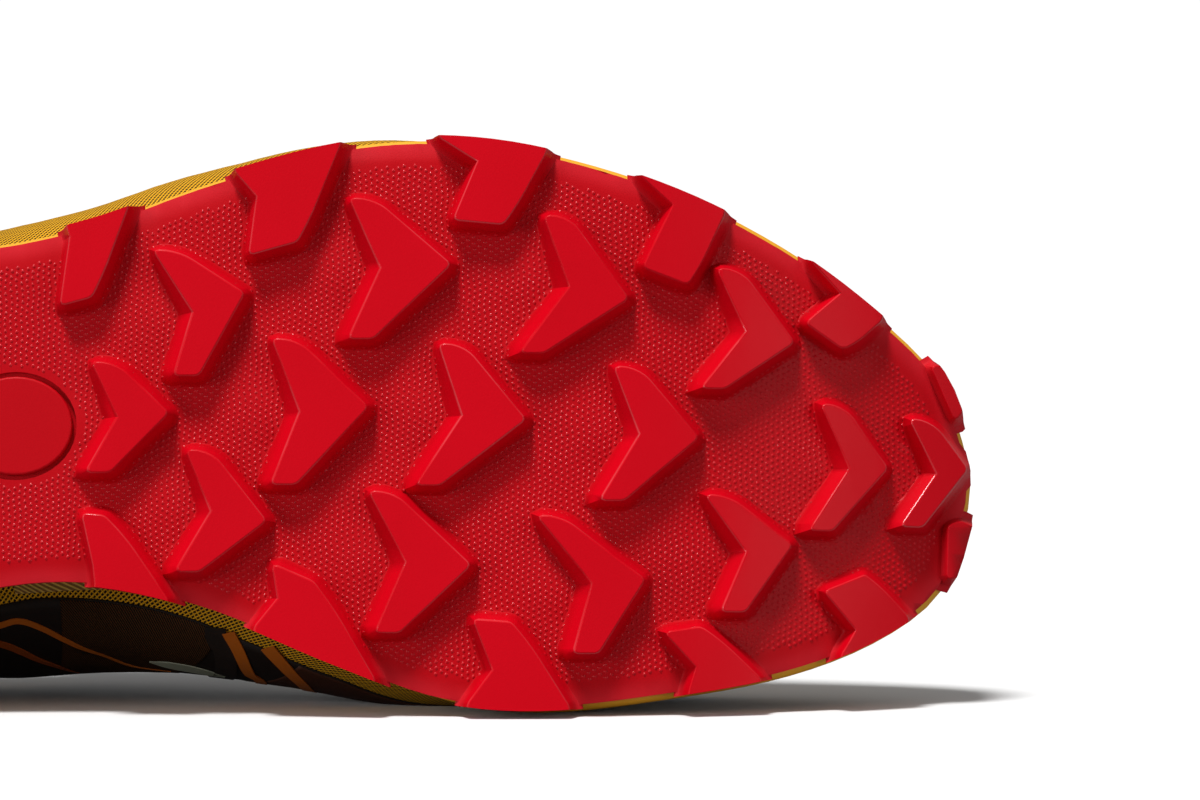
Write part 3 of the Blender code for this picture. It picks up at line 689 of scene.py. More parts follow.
Chevron = namedtuple("Chevron", "along across facing latBack latOut medBack medOut notch")
chevrons = (
    Chevron(0.040, 0.055, -1, 0.90, 0.90, 0.90, 0.90, 0.85),
    Chevron(0.103, -0.085, -1, 0.88, 0.85, 0.92, 0.80, 0.82),
    Chevron(0.103, 0.195, -1, 0.92, 0.80, 0.88, 0.85, 0.82),
    Chevron(0.160, 0.055, -1, 0.90, 0.90, 0.90, 0.90, 0.85),
    Chevron(0.222, -0.095, -1, 0.88, 0.80, 0.92, 0.80, 0.82),
    Chevron(0.222, 0.160, -1, 0.92, 0.80, 0.88, 0.75, 0.82),
    Chevron(0.280, 0.020, -1, 0.85, 0.85, 0.85, 0.85, 0.80),
    Chevron(0.479, -0.074, 1, 0.71, 0.69, 0.77, 0.79, 0.73),
    Chevron(0.527, -0.286, 1, 0.90, 0.58, 0.60, 1.10, 0.77),
    Chevron(0.542, 0.116, 1, 0.75, 0.95, 0.88, 0.67, 0.79),
    Chevron(0.607, -0.084, 1, 0.95, 0.91, 0.95, 1.02, 0.95),
    Chevron(0.660, -0.335, 1, 1.03, 0.89, 1.03, 0.99, 0.98),
    Chevron(0.673, 0.193, 1, 1.03, 0.98, 0.94, 0.89, 0.91),
    Chevron(0.708, -0.061, 1, 0.83, 1.01, 1.13, 0.87, 0.89),
    Chevron(0.774, -0.274, 1, 0.80, 1.11, 1.12, 0.73, 0.85),
    Chevron(0.784, 0.217, 1, 1.11, 0.84, 0.62, 0.98, 0.75),
    Chevron(0.819, -0.031, 1, 0.80, 0.94, 0.99, 0.84, 0.83),
    Chevron(0.882, -0.204, 1, 0.73, 0.97, 0.95, 0.65, 0.72),
    Chevron(0.880, 0.153, 1, 0.87, 0.65, 0.65, 0.91, 0.69),
    Chevron(0.944, 0.022, 1, 0.61, 0.84, 0.78, 0.87, 0.59),
    Chevron(1.000, 0.025, 1, 0.53, 0.65, 0.67, 0.83, 0.52),
)

EdgeLug = namedtuple("EdgeLug", "side edgeFrom edgeTo innerFrom innerTo reach notchAt notchIn")
lateral = -1
medial = 1
edgeLugs = (
    EdgeLug(lateral, 0.035, 0.080, 0.055, 0.090, 0.62, 0.046, 0.25),
    EdgeLug(lateral, 0.120, 0.170, 0.125, 0.155, 0.62, 0.128, 0.30),
    EdgeLug(lateral, 0.195, 0.245, 0.200, 0.230, 0.62, 0.203, 0.30),
    EdgeLug(lateral, 0.270, 0.320, 0.275, 0.305, 0.66, 0.278, 0.30),
    EdgeLug(lateral, 0.409, 0.451, 0.405, 0.428, 0.95, 0.411, 0.12),
    EdgeLug(lateral, 0.517, 0.588, 0.526, 0.560, 1.10, 0.531, 0.40),
    EdgeLug(lateral, 0.648, 0.721, 0.657, 0.692, 1.02, 0.673, 0.29),
    EdgeLug(lateral, 0.779, 0.836, 0.779, 0.811, 1.12, 0.799, 0.22),
    EdgeLug(lateral, 0.891, 0.941, 0.885, 0.912, 0.80, 0.909, 0.14),
    EdgeLug(medial, 0.035, 0.080, 0.055, 0.090, 0.62, 0.046, 0.25),
    EdgeLug(medial, 0.120, 0.170, 0.125, 0.155, 0.62, 0.128, 0.30),
    EdgeLug(medial, 0.195, 0.245, 0.200, 0.230, 0.50, 0.203, 0.22),
    EdgeLug(medial, 0.270, 0.315, 0.275, 0.300, 0.60, 0.278, 0.25),
    EdgeLug(medial, 0.429, 0.479, 0.420, 0.437, 0.92, 0.428, 0.22),
    EdgeLug(medial, 0.531, 0.611, 0.542, 0.571, 0.95, 0.546, 0.50),
    EdgeLug(medial, 0.667, 0.735, 0.670, 0.697, 1.12, 0.683, 0.47),
    EdgeLug(medial, 0.808, 0.858, 0.791, 0.818, 0.83, 0.813, 0.30),
    EdgeLug(medial, 0.908, 0.957, 0.896, 0.926, 0.92, 0.918, 0.24),
)

# Small low lugs at the toe, as corners in millimetres along and across
toeLugs = (
    ((291.0, -18.7), (295.7, -19.3), (299.5, -9.2), (296.7, -6.4)),
    ((294.6, 13.1), (298.2, 11.8), (302.0, 13.4), (301.6, 18.2), (298.8, 24.1), (294.2, 25.0)),
)


def edgeAcross(along, side):
    turns = np.linspace(0, 0.5, 400) if side == lateral else np.linspace(0.5, 1, 400)
    place, _ = outlineAt(turns)
    order = np.argsort(place[:, 0])
    return float(np.interp(along, place[order, 0], place[order, 1]))


def chevronCorners(row):
    # The shift fades out at the toe, and the last chevron lies a little the other way
    shift = treadSizes["shift"] * np.clip((0.96 - row.along) / 0.05, -0.4, 1)
    tip = np.array([row.along * last["length"], row.across * last["ball"] + shift])
    lat = treadSizes["reach"] * np.array([-row.facing * row.latBack, -row.latOut])
    med = treadSizes["reach"] * np.array([-row.facing * row.medBack, row.medOut])
    end = np.array([-row.facing * treadSizes["armEnd"], 0])
    middle = lat + med
    notch = treadSizes["reach"] * row.notch * middle / np.linalg.norm(middle)
    return [tip, tip + lat, tip + lat + end, tip + notch, tip + med + end, tip + med]


def edgeLugCorners(row):
    def spot(share, inward):
        along = share * last["length"]
        return np.array([along, edgeAcross(along, row.side) - row.side * inward])

    overhang = treadSizes["edgeOverhang"]
    reach = row.reach * treadSizes["reach"] + (treadSizes["lateralMore"] if row.side == lateral else 0)
    back, out = treadSizes["chamfer"]
    return [
        spot(row.edgeFrom, -overhang), spot(row.edgeFrom, 0),
        spot(row.notchAt, row.notchIn * treadSizes["reach"]),
        spot(row.innerFrom, reach), spot(row.innerTo, reach),
        spot(row.innerTo + back * (row.edgeTo - row.innerTo), out * reach),
        spot(row.edgeTo, 0), spot(row.edgeTo, -overhang),
    ]


def buildLug(corners, rounded, sharp, draft, flare=0):
    # A lug is shaped on its tread face: the face is drawn in by the draft, its corners are rounded, and
    # its wall then runs out and into the shoe step by step
    bm = bmesh.new()
    face = bm.faces.new([bm.verts.new((x, y, 0)) for x, y in corners])
    face.normal_update()
    cornerOrder = list(range(len(corners)))
    if face.normal.z > 0:
        face.normal_flip()
        cornerOrder = [0] + cornerOrder[:0:-1]
    ring = bmesh.ops.inset_region(bm, faces=[face], thickness=draft, use_boundary=True,
                                  use_even_offset=True)
    bmesh.ops.delete(bm, geom=ring["faces"], context="FACES")
    cornerVerts = list(face.verts)
    start = min(range(len(corners)), key=lambda i: (cornerVerts[i].co.xy - Vector(corners[0])).length)
    cornerVerts = cornerVerts[start:] + cornerVerts[:start]
    for index, vert in zip(cornerOrder, cornerVerts):
        if index in sharp:
            continue
        radius = treadSizes["shoulderRadius"] if index in rounded else treadSizes["cornerRadius"]
        bmesh.ops.bevel(bm, geom=[vert], offset=radius, offset_type="OFFSET",
                        segments=5 if index in rounded else 2, profile=0.5, affect="VERTICES",
                        material=-1, clamp_overlap=True)
    bmesh.ops.remove_doubles(bm, verts=bm.verts, dist=0.02 * mm)
    face = bm.faces[:][0]
    for outward, inward in lugWall:
        bmesh.ops.inset_region(bm, faces=[face], thickness=-outward * mm, depth=-inward * mm,
                               use_boundary=True, use_even_offset=True)
    for vert in bm.verts if flare else ():
        nearest = min(range(len(corners)), key=lambda i: (vert.co.xy - Vector(corners[i])).length)
        if nearest in (3, 4):
            vert.co.x += flare * vert.co.z / last["lugDepth"]
    tread = [edge for edge in bm.edges if edge.is_boundary]
    bmesh.ops.contextual_create(bm, geom=tread)
    bmesh.ops.recalc_face_normals(bm, faces=bm.faces)
    return bm


def edgeDistance(flat):
    # How far points lie inside the sole's outline
    ring = outlineLoop[::8]
    result = np.empty(len(flat))
    for start in range(0, len(flat), 2000):
        part = flat[start:start + 2000]
        result[start:start + 2000] = np.linalg.norm(part[:, None, :] - ring[None], axis=2).min(axis=1)
    return result


# Soft swells of the ground, as (height, width)
hillSizes = {"back": (0.75 * mm, 6.0 * mm), "arm": (0.35 * mm, 4.5 * mm), "most": 1.1 * mm}


def groundHills(flat):
    # The ground swells behind each chevron's notch and at the ends of its arms
    rise = np.zeros(len(flat))
    for row in chevrons:
        tip, _, latEnd, notch, medEnd, _ = chevronCorners(row)
        back = notch + (notch - tip) * 0.45
        for spot, kind in ((back, "back"), (latEnd, "arm"), (medEnd, "arm")):
            height, width = hillSizes[kind]
            away = np.linalg.norm(flat - spot, axis=1)
            rise += height * np.exp(-(away / width) ** 2)
    return np.minimum(rise, hillSizes["most"])


def prism(loop, low, high):
    bm = bmesh.new()
    base = bm.faces.new([bm.verts.new((x, y, low)) for x, y in loop])
    raised = bmesh.ops.extrude_face_region(bm, geom=[base], use_keep_orig=True)
    moved = [item for item in raised["geom"] if isinstance(item, bmesh.types.BMVert)]
    bmesh.ops.translate(bm, verts=moved, vec=(0, 0, high - low))
    bmesh.ops.recalc_face_normals(bm, faces=bm.faces)
    return bm


def soleLoop(out):
    place, facing = outlineAt(np.arange(192) / 192)
    return place + facing * out


def trimTo(lugs, out):
    # Cuts lugs off a little outside the sole's outline
    joinWith(lugs, looseObject("trim", prism(soleLoop(out), -3 * mm, 9 * mm)), "INTERSECT")


def cutBothWays(bm, step):
    cutAcross(bm, step)
    cutAcross(bm, step, 1, (-0.6 * last["ball"], 0.6 * last["ball"]))


# A blank raised oval in the waist, with a groove round it
waistOval = {
    "along": 113 * mm,
    "across": -4.7 * mm,
    "halfLength": 11.0 * mm,
    "halfWidth": 9.6 * mm,
    "groove": 0.9 * mm,
    "depth": 0.9 * mm,
    "stand": 0.5 * mm,  # how far the oval stands out of the ground
    "root": 1.4 * mm,
    "rim": 0.5 * mm,
}


def ovalLoop(grow):
    angles = np.arange(40) * 2 * pi / 40
    return np.column_stack([
        waistOval["along"] + (waistOval["halfLength"] + grow) * np.cos(angles),
        waistOval["across"] + (waistOval["halfWidth"] + grow) * np.sin(angles)])


def joinLugs():
    shapes = [(chevronCorners(row), (1,), (3,), treadSizes["draft"], -row.facing * treadSizes["flare"])
              for row in chevrons]
    shapes += [(edgeLugCorners(row), (5,), (0, 2, 7), treadSizes["draft"]) for row in edgeLugs]
    lugs = [buildLug(*shape) for shape in shapes]
    for index, lug in enumerate(lugs):
        # no two neighbours share a level, which keeps their joins clean
        bmesh.ops.translate(lug, verts=lug.verts, vec=(0, 0, 0.014 * mm * (index % 7)))
    return gather(lugs)


def joinToeLugs():
    lugs = []
    for corners in toeLugs:
        low = buildLug([np.array(corner) * mm for corner in corners], (), (), treadSizes["toeDraft"])
        bmesh.ops.translate(low, verts=low.verts, vec=(0, 0, treadSizes["toeStep"]))
        lugs.append(low)
    return gather(lugs)


def bendSole(bm):
    # Rounds the sole off towards the outline, fully at the ground and less at the lugs' faces, and gives
    # it its spring. How far each place lies below those faces, and how far inland, is kept for the
    # rubber's colour, painted shade between the lugs and painted highlights
    relief = bm.verts.layers.float.new("relief")
    inland = bm.verts.layers.float.new("inland")
    spots = np.array([vert.co for vert in bm.verts])
    share = np.clip(edgeDistance(spots[:, :2]) / treadSizes["bandWidth"], 0, 1)
    low = np.maximum(0, 1 - spots[:, 2] / (last["lugDepth"] + last["plate"]))
    bend = np.minimum(1, 3.2 * low) * (0.2 + 0.8 * np.clip(spots[:, 2] / last["lugDepth"], 0, 1))
    drop = treadSizes["bandDrop"] * (1 - share) ** 2 * bend
    for vert, height, fall, inward in zip(bm.verts, spots[:, 2], drop + lift(spots[:, 0]), share):
        vert[relief] = height / last["lugDepth"]
        vert[inland] = inward
        vert.co.z += fall


def buildOutsole():
    tread = looseObject("tread", joinLugs())
    trimTo(tread, treadSizes["proud"])
    ground = last["lugDepth"]
    plate = prism(soleLoop(-treadSizes["plateInset"]), ground, ground + last["plate"])
    cutBothWays(plate, treadSizes["groundStep"])
    floorVerts = [vert for vert in plate.verts if vert.co.z < ground + 0.1 * mm]
    flat = np.array([vert.co.xy for vert in floorVerts])
    calm = np.clip(edgeDistance(flat) / treadSizes["bandWidth"], 0, 1)
    for vert, rise in zip(floorVerts, groundHills(flat) * calm):
        vert.co.z -= rise
    outsole = looseObject("outsolePlate", plate)
    joinWith(outsole, tread, "UNION")
    toe = looseObject("toeLugs", joinToeLugs())
    trimTo(toe, treadSizes["toeProud"])
    joinWith(outsole, toe, "UNION")
    groove = prism(ovalLoop(waistOval["groove"]), ground - 3 * mm, ground + waistOval["depth"])
    joinWith(outsole, looseObject("groove", groove), "DIFFERENCE")
    oval = prism(ovalLoop(0), ground - waistOval["stand"], ground + waistOval["root"])
    face = min(oval.faces, key=lambda f: f.calc_center_median().z)
    bmesh.ops.bevel(oval, geom=list(face.edges), offset=waistOval["rim"], offset_type="OFFSET",
                    segments=3, profile=0.5, affect="EDGES", material=-1)
    joinWith(outsole, looseObject("oval", oval), "UNION")
    bm = takeMesh(outsole)
    cutBothWays(bm, treadSizes["bendStep"])
    bmesh.ops.remove_doubles(bm, verts=bm.verts, dist=0.01 * mm)
    bmesh.ops.recalc_face_normals(bm, faces=bm.faces)
    tree = BVHTree.FromBMesh(bm)
    bendSole(bm)
    print("outsole", len(bm.faces), "faces")
    piece = addPiece("outsole_tread", bm, satinRubber, ["outsole"], crisp=62)
    weighted = piece.modifiers.new("even", "WEIGHTED_NORMAL")
    weighted.weight = 80
    weighted.keep_sharp = True
    return tree


dotSizes = {
    "pitch": 1.22 * mm,
    "radius": 0.47 * mm,
    "sunk": 0.06 * mm,
    "height": 0.17 * mm,
    "top": 0.42,  # how wide a dot's top is against its foot
    "margin": 4.6 * mm,  # the bare band along the outline
    "ovalMargin": 1.9 * mm,
    "climb": 0.9 * mm,  # how far up a lug's foot the dots run
    "wander": 0.16 * mm,  # the rows wander a little, as moulded grain does
}


def dotSpots(tree):
    # Lattice points on the ground between the lugs, with the way that each faces
    pitch = dotSizes["pitch"]
    rows = np.arange(2 * mm, last["length"], pitch * 0.866)
    columns = np.arange(-0.56 * last["ball"], 0.56 * last["ball"], pitch)
    flat = np.array([(along, across + (0.5 * pitch if index % 2 else 0))
                     for index, along in enumerate(rows) for across in columns])
    x, y = flat.T
    flat = flat + dotSizes["wander"] * np.column_stack([np.sin(y * 900 + x * 300),
                                                        np.sin(x * 800 - y * 250)])
    flat = flat[insideLoop(flat)]
    flat = flat[edgeDistance(flat) >= dotSizes["margin"]]
    middle = (waistOval["along"], waistOval["across"])
    halves = np.array([waistOval["halfLength"], waistOval["halfWidth"]]) + dotSizes["ovalMargin"]
    flat = flat[np.hypot(*((flat - middle) / halves).T) >= 1]
    spots = []
    for along, across in flat:
        hit, normal, _, _ = tree.ray_cast(Vector((along, across, -20 * mm)), Vector((0, 0, 1)))
        if hit is not None and hit.z >= last["lugDepth"] - dotSizes["climb"]:
            spots.append((hit, normal))
    return spots


def insideLoop(flat):
    # Even and odd crossings of the outline
    ring = outlineLoop[::8]
    result = np.zeros(len(flat), bool)
    for (x0, y0), (x1, y1) in zip(ring, np.roll(ring, -1, axis=0)):
        spans = (y0 > flat[:, 1]) != (y1 > flat[:, 1])
        if not spans.any():
            continue
        crossing = x0 + (flat[:, 1] - y0) * (x1 - x0) / (y1 - y0 if y1 != y0 else 1e-12)
        result ^= spans & (flat[:, 0] < crossing)
    return result


def dotDome():
    # A low open dome, a little sunk into the ground
    bm = bmesh.new()
    deep = dotSizes["height"] + dotSizes["sunk"]
    bmesh.ops.create_cone(bm, cap_ends=True, segments=5, radius1=dotSizes["radius"],
                          radius2=dotSizes["top"] * dotSizes["radius"], depth=deep)
    bmesh.ops.translate(bm, verts=bm.verts, vec=(0, 0, 0.5 * deep - dotSizes["sunk"]))
    base = min(bm.faces, key=lambda face: face.calc_center_median().z)
    bmesh.ops.delete(bm, geom=[base], context="FACES_ONLY")
    return looseObject("dotDome", bm)


def dotField(dome):
    # Geometry nodes that stand a dome on every point, leaning as the point says
    tree = bpy.data.node_groups.new("dotField", "GeometryNodeTree")
    for side in ("INPUT", "OUTPUT"):
        tree.interface.new_socket("Geometry", in_out=side, socket_type="NodeSocketGeometry")
    start = tree.nodes.new("NodeGroupInput")
    end = tree.nodes.new("NodeGroupOutput")
    lean = addNode(tree, "GeometryNodeInputNamedAttribute", {"data_type": "FLOAT_VECTOR"}, None,
                   {"Name": "lean"})
    turn = addNode(tree, "FunctionNodeAlignRotationToVector", {"axis": "Z"},
                   {"Vector": lean.outputs["Attribute"]})
    shape = addNode(tree, "GeometryNodeObjectInfo", None, None, {"Object": dome})
    place = addNode(tree, "GeometryNodeInstanceOnPoints", None, {
        "Points": start.outputs[0], "Instance": shape.outputs["Geometry"],
        "Rotation": turn.outputs["Rotation"]})
    real = addNode(tree, "GeometryNodeRealizeInstances", None, {"Geometry": place.outputs["Instances"]})
    tree.links.new(real.outputs["Geometry"], end.inputs[0])
    return tree


def scatterDots(tree):
    spots = dotSpots(tree)
    bm = bmesh.new()
    leanLayer = bm.verts.layers.float_vector.new("lean")
    for place, normal in spots:
        bm.verts.new(place)[leanLayer] = normal
    points = looseObject("dotPoints", bm)
    dome = dotDome()
    field = dotField(dome)
    points.modifiers.new("dots", "NODES").node_group = field
    graph = bpy.context.evaluated_depsgraph_get()
    points.data = bpy.data.meshes.new_from_object(points.evaluated_get(graph))
    bm = takeMesh(points)
    bpy.data.objects.remove(dome)
    bpy.data.node_groups.remove(field)
    bendSole(bm)
    print("dots", len(spots))
    addPiece("ground_dots", bm, dotRubber)


soleTree = buildOutsole()
scatterDots(soleTree)


# Midsole

foamSizes = {
    "flare": 0.8,  # in millimetres, as are the next two
    "groove": 1.4,
    "shoulder": 2.4,
    "bendStep": 5 * mm,
    "archIn": 3.0 * mm,
}

foamProfile = (
    (0.00, -0.4), (0.03, 0.2), (0.10, foamSizes["flare"]), (0.38, foamSizes["flare"]),
    (0.43, foamSizes["flare"] - 0.9), (0.48, foamSizes["flare"] - foamSizes["groove"]),
    (0.56, foamSizes["flare"] - foamSizes["groove"]), (0.61, foamSizes["flare"] - 0.6),
    (0.66, foamSizes["flare"]), (0.84, 0.5 * foamSizes["flare"]), (0.93, -0.5),
    (0.98, -1.5), (1.00, -foamSizes["shoulder"]),
)


def waistRecess(u):
    # The foam draws in under the arch, so that the mesh meets the rubber there
    return foamSizes["archIn"] * np.exp(-((u - 0.765) / 0.085) ** 4)


def platePiece(name, profile, inset, heightOf, material, stands, recess=lambda u: 0):
    # A closed plate with the sole's outline, its wall following (height share, out in millimetres)
    def placeAt(u, v):
        place, facing = outlineAt(u)
        rows = np.linspace(0, 1, len(profile))
        heights = np.interp(v, rows, [row[0] for row in profile])
        outs = np.interp(v, rows, [row[1] for row in profile]) * mm
        flat = place + facing * (outs - inset - recess(u))[:, None]
        return np.column_stack([flat, heights])

    bm = rollSheet(160, len(profile) - 1, placeAt)
    cutAcross(bm, foamSizes["bendStep"])
    for vert in bm.verts:
        vert.co.z = float(heightOf(vert.co.x, vert.co.y, vert.co.z))
    return addPiece(name, bm, material, stands)


def foamLevel(along, across, share):
    return foamBottom + share * foamHeight(along) + lift(along)


platePiece("midsole_foam", foamProfile, 0, foamLevel, yellowFoam, ["midsole"],
           waistRecess)

# Insole

insoleProfile = ((0, -0.8), (0.3, 0), (0.8, 0), (0.95, -0.4), (1, -1.0))
insoleSizes = {"wall": 4 * mm, "room": 0.8 * mm, "rim": 1.6 * mm, "rimWidth": 9 * mm}
insoleInset = last["featherInset"] + last["upperWall"] + insoleSizes["room"]


def insoleLevel(along, across, share):
    # dished: the rim stands a little above the bed
    room = float(edgeDistance(np.array([[along, across]]))[0]) - insoleInset
    rim = insoleSizes["rim"] * max(0.0, 1 - room / insoleSizes["rimWidth"]) ** 2 * share
    return foamTop(along) + last["seatGap"] + share * insoleSizes["wall"] + rim


platePiece("insole_board", insoleProfile, insoleInset, insoleLevel, darkKnit,
           ["insole"])
print("sole pieces made")


# Upper

upper = addPiece("upper_shell", makeSheet(200, 40, lambda u, v: besideUpper(u, v, 0), closed=True),
                 goldenMesh, ["upper"])
addWall(upper, last["upperWall"], -1)


def patchSheet(turns, shareSpan, gap, counts):
    # A sheet beside the upper's face, between two heights that depend on the turn
    def placeAt(u, v):
        turn = turns[0] + (turns[1] - turns[0]) * u
        low, high = shareSpan(turn)
        return besideUpper(turn, low + (high - low) * v, gap)

    return makeSheet(*counts, placeAt)


def patchPiece(name, turns, shareSpan, gap, wall, material, counts, stands=(), rim=0):
    piece = addPiece(name, patchSheet(turns, shareSpan, gap, counts), material, stands)
    addWall(piece, wall, 1, rim)


def sideShare(turn):
    local = np.asarray(turn) % 1.0
    return np.minimum(local, 1 - local) * 2


def randSpan(turn):
    rise = np.clip((sideShare(turn) - 0.70) / 0.30, 0, 1) ** 0.7
    return 0.03, 0.05 + 0.13 * rise


def counterSpan(turn):
    return 0.03, 0.62 - 0.42 * (sideShare(turn) / 0.24) ** 2


overlaySizes = {"toeWall": 1.2 * mm, "heelWall": 1.6 * mm, "rim": 0.4 * mm}

patchPiece("toe_rand_film", (0.36, 0.64), randSpan, last["overlayGap"], overlaySizes["toeWall"],
           darkFilm, (90, 8), ["toe_rand"], overlaySizes["rim"])
patchPiece("heel_counter_film", (-0.12, 0.12), counterSpan, last["overlayGap"],
           overlaySizes["heelWall"], darkFilm, (60, 20), ["heel_counter"], overlaySizes["rim"])


# Eyestay

eyestaySizes = {
    "turns": (0.22, 0.78),
    "width": 14 * mm,
    "eyeletInset": 7 * mm,
    "wall": 1.2 * mm,
    "rim": 0.3 * mm,
    "hole": 1.9 * mm,
    "ringOut": 0.35 * mm,
    "ringWire": 0.55 * mm,
}
stayTop = last["overlayGap"] + eyestaySizes["wall"]
lacePlaces = [0.50 + 0.40 * index / 5 for index in range(6)]
eyelets = [(place, side) for place in lacePlaces for side in (1, -1)]


def stayLows(turn):
    known = np.linspace(0.2, 0.8, 61)
    lengths = np.array([ribLength(place) for place in known])
    return 1 - eyestaySizes["width"] / np.interp(turn, known, lengths)


def eyeletAt(place, side, distance, inward=0.0):
    # A spot over the eyelet of a side (1 lateral, -1 medial), or towards the throat's edge from it
    turn = place / 2 if side == 1 else 1 - place / 2
    share = 1 - (eyestaySizes["eyeletInset"] - inward) / ribLength(turn)
    return besideUpper(turn, share, distance)[0], upperFacing(turn, share)[0]


def buildEyestay():
    # The lace facing, with its eyelets cut through
    stay = looseObject("stay", patchSheet(eyestaySizes["turns"], lambda turn: (stayLows(turn), 1),
                                          last["overlayGap"], (180, 8)))
    addWall(stay, eyestaySizes["wall"], 1, eyestaySizes["rim"])
    cutters = bmesh.new()
    for place, side in eyelets:
        bmesh.ops.create_cone(cutters, cap_ends=True, segments=20, depth=4 * mm,
                              radius1=eyestaySizes["hole"], radius2=eyestaySizes["hole"],
                              matrix=standAt(*eyeletAt(place, side, 0.5 * stayTop)))
    joinWith(stay, looseObject("eyeletCutters", cutters), "DIFFERENCE")
    addPiece("eyestay_film", takeMesh(stay), darkFilm, ["eyestay"], crisp=50)


def buildEyelets():
    # A rolled ring round each hole
    rings = []
    middle = (eyestaySizes["hole"] + eyestaySizes["ringOut"], 0, 0)
    upright = Matrix.Translation(middle) @ Matrix.Rotation(radians(90), 4, "X")
    for place, side in eyelets:
        ring = bmesh.new()
        bmesh.ops.create_circle(ring, segments=8, radius=eyestaySizes["ringWire"], matrix=upright)
        bmesh.ops.spin(ring, geom=ring.verts[:] + ring.edges[:], cent=(0, 0, 0), axis=(0, 0, 1),
                       angle=2 * pi, steps=24, use_merge=True)
        bmesh.ops.transform(ring, matrix=standAt(*eyeletAt(place, side, stayTop)), verts=ring.verts)
        bmesh.ops.recalc_face_normals(ring, faces=ring.faces)
        rings.append(ring)
    addPiece("eyelet_rings", gather(rings), darkFilm)


stitchSizes = {"pitch": 2.9 * mm, "radius": 0.27 * mm, "length": 0.66}


def stitchRow(places):
    # Short thread bars laid end to end along a line of places
    pitch = stitchSizes["pitch"]
    steps = np.linalg.norm(np.diff(places, axis=0), axis=1)
    travelled = np.concatenate([[0], np.cumsum(steps)])
    bars = bmesh.new()
    for start in np.arange(0.5 * pitch, travelled[-1] - pitch, pitch):
        spot, ahead = [np.array([np.interp(start + more, travelled, places[:, axis])
                                 for axis in range(3)]) for more in (0, 0.2 * pitch)]
        bmesh.ops.create_cone(bars, cap_ends=True, segments=6, radius1=stitchSizes["radius"],
                              radius2=stitchSizes["radius"], depth=stitchSizes["length"] * pitch,
                              matrix=standAt(spot, ahead - spot))
    return bars


def routeAlong(turnFrom, turnTo, shareAt, distance):
    turn = np.linspace(turnFrom, turnTo, 240)
    return besideUpper(turn, shareAt(turn), distance)


buildEyestay()
buildEyelets()
stayStitches = stitchRow(routeAlong(0.225, 0.775, lambda turn: stayLows(turn) + 0.025,
                                    stayTop + 0.05 * mm))
collarStitches = stitchRow(routeAlong(-0.20, 0.20, lambda turn: 0.965 + 0 * turn, 0.06 * mm))
addPiece("seam_stitches", gather([stayStitches, collarStitches]), goldThread)


# Collar: padded, rolled over the top line and swelling towards the foot

collarSizes = {
    "reach": 0.19,  # how far it runs each way from the heel, as a share of the turn
    "low": 0.65,  # how far down it goes, as a share of the upper's height
    "thick": 4 * mm,
    "swell": 2.6 * mm,
    "section": (0.40, 0.56, 0.94),  # where it has come up, rolled over, and come down again
}


def collarSection(u, v):
    upTo, overTo, downTo = collarSizes["section"]
    turn = collarSizes["reach"] * (2 * u - 1)
    ends = np.clip(np.minimum(u, 1 - u) / 0.10, 0, 1)
    thick = collarSizes["thick"] * (0.5 + 0.5 * ends)
    rise = np.clip(v / upTo, 0, 1)
    roll = pi * np.clip((v - upTo) / (overTo - upTo), 0, 1)
    fall = np.clip((v - overTo) / (downTo - overTo), 0, 1)
    share = np.where(v < (upTo + overTo) / 2, collarSizes["low"] + (1 - collarSizes["low"]) * rise,
                     1 - (1 - collarSizes["low"]) * fall)
    swell = collarSizes["swell"] * ends * np.sin(pi * fall) ** 0.8
    closing = 1 - np.clip((v - downTo) / (1 - downTo), 0, 1)
    depth = np.where(v < overTo, 0.5 * thick * (1 - np.cos(roll)), (thick + swell) * closing)
    inside = last["upperWall"] + last["seatGap"]
    top = upperAt(turn, np.ones(len(turn)))
    ribWay = unitRows(top - upperAt(turn, np.full(len(turn), 0.97)))
    over = 0.5 * thick * np.sin(roll)
    return besideUpper(turn, share, -(inside + depth)) + ribWay * over[:, None]


collar = addPiece("collar_padding", rollSheet(110, 44, collarSection), darkKnit,
                  ["collar_lining"])
print("upper and overlays made")


# Tongue: a padded strip under both edges of the throat, with soft channels along it

tongueSizes = {
    "from": 0.46,
    "to": 0.94,
    "thick": 3.5 * mm,
    "flap": 31 * mm,
    "flapShare": 0.24,  # how much of the tongue stands free
    "tuck": 0.12,  # how much of its width lies under each side of the throat
    "arch": 0.8,
    "channel": 0.6 * mm,
    "channelWidth": 0.022,
    "channels": (0.30, 0.43, 0.57, 0.70),
}
# The free flap from the throat to its tip: how far out in millimetres, how wide and how far it bows
flapWidths = ((0, 6, 14, 22, 28, 31), (1, 0.70, 0.70, 0.68, 0.58, 0.40), (0, 1, 2, 3.5, 5, 6))


def throatLine(side, across):
    # A point on the tongue's face: across runs from the lateral tuck (0) to the medial one (1)
    inside = -(last["upperWall"] + last["seatGap"])
    lat = [besideUpper(side / 2, 0 * side + share, inside) for share in (0.91, 1.0)]
    med = [besideUpper(1 - side / 2, 0 * side + share, inside) for share in (0.91, 1.0)]
    chord = np.linalg.norm(med[1] - lat[1], axis=1)[:, None]
    leadIn = unitRows(lat[1] - lat[0]) * chord * tongueSizes["arch"]
    leadOut = unitRows(med[0] - med[1]) * chord * tongueSizes["arch"]
    tuck = tongueSizes["tuck"]
    t = np.clip((across - tuck) / (1 - 2 * tuck), 0, 1)[:, None]
    tuckIn = np.clip(1 - across / tuck, 0, 1)[:, None]
    tuckOut = np.clip((across - 1 + tuck) / tuck, 0, 1)[:, None]
    bridge = easeBetween(t, lat[1], leadIn, med[1], leadOut)
    return bridge + (lat[0] - lat[1]) * tuckIn + (med[0] - med[1]) * tuckOut


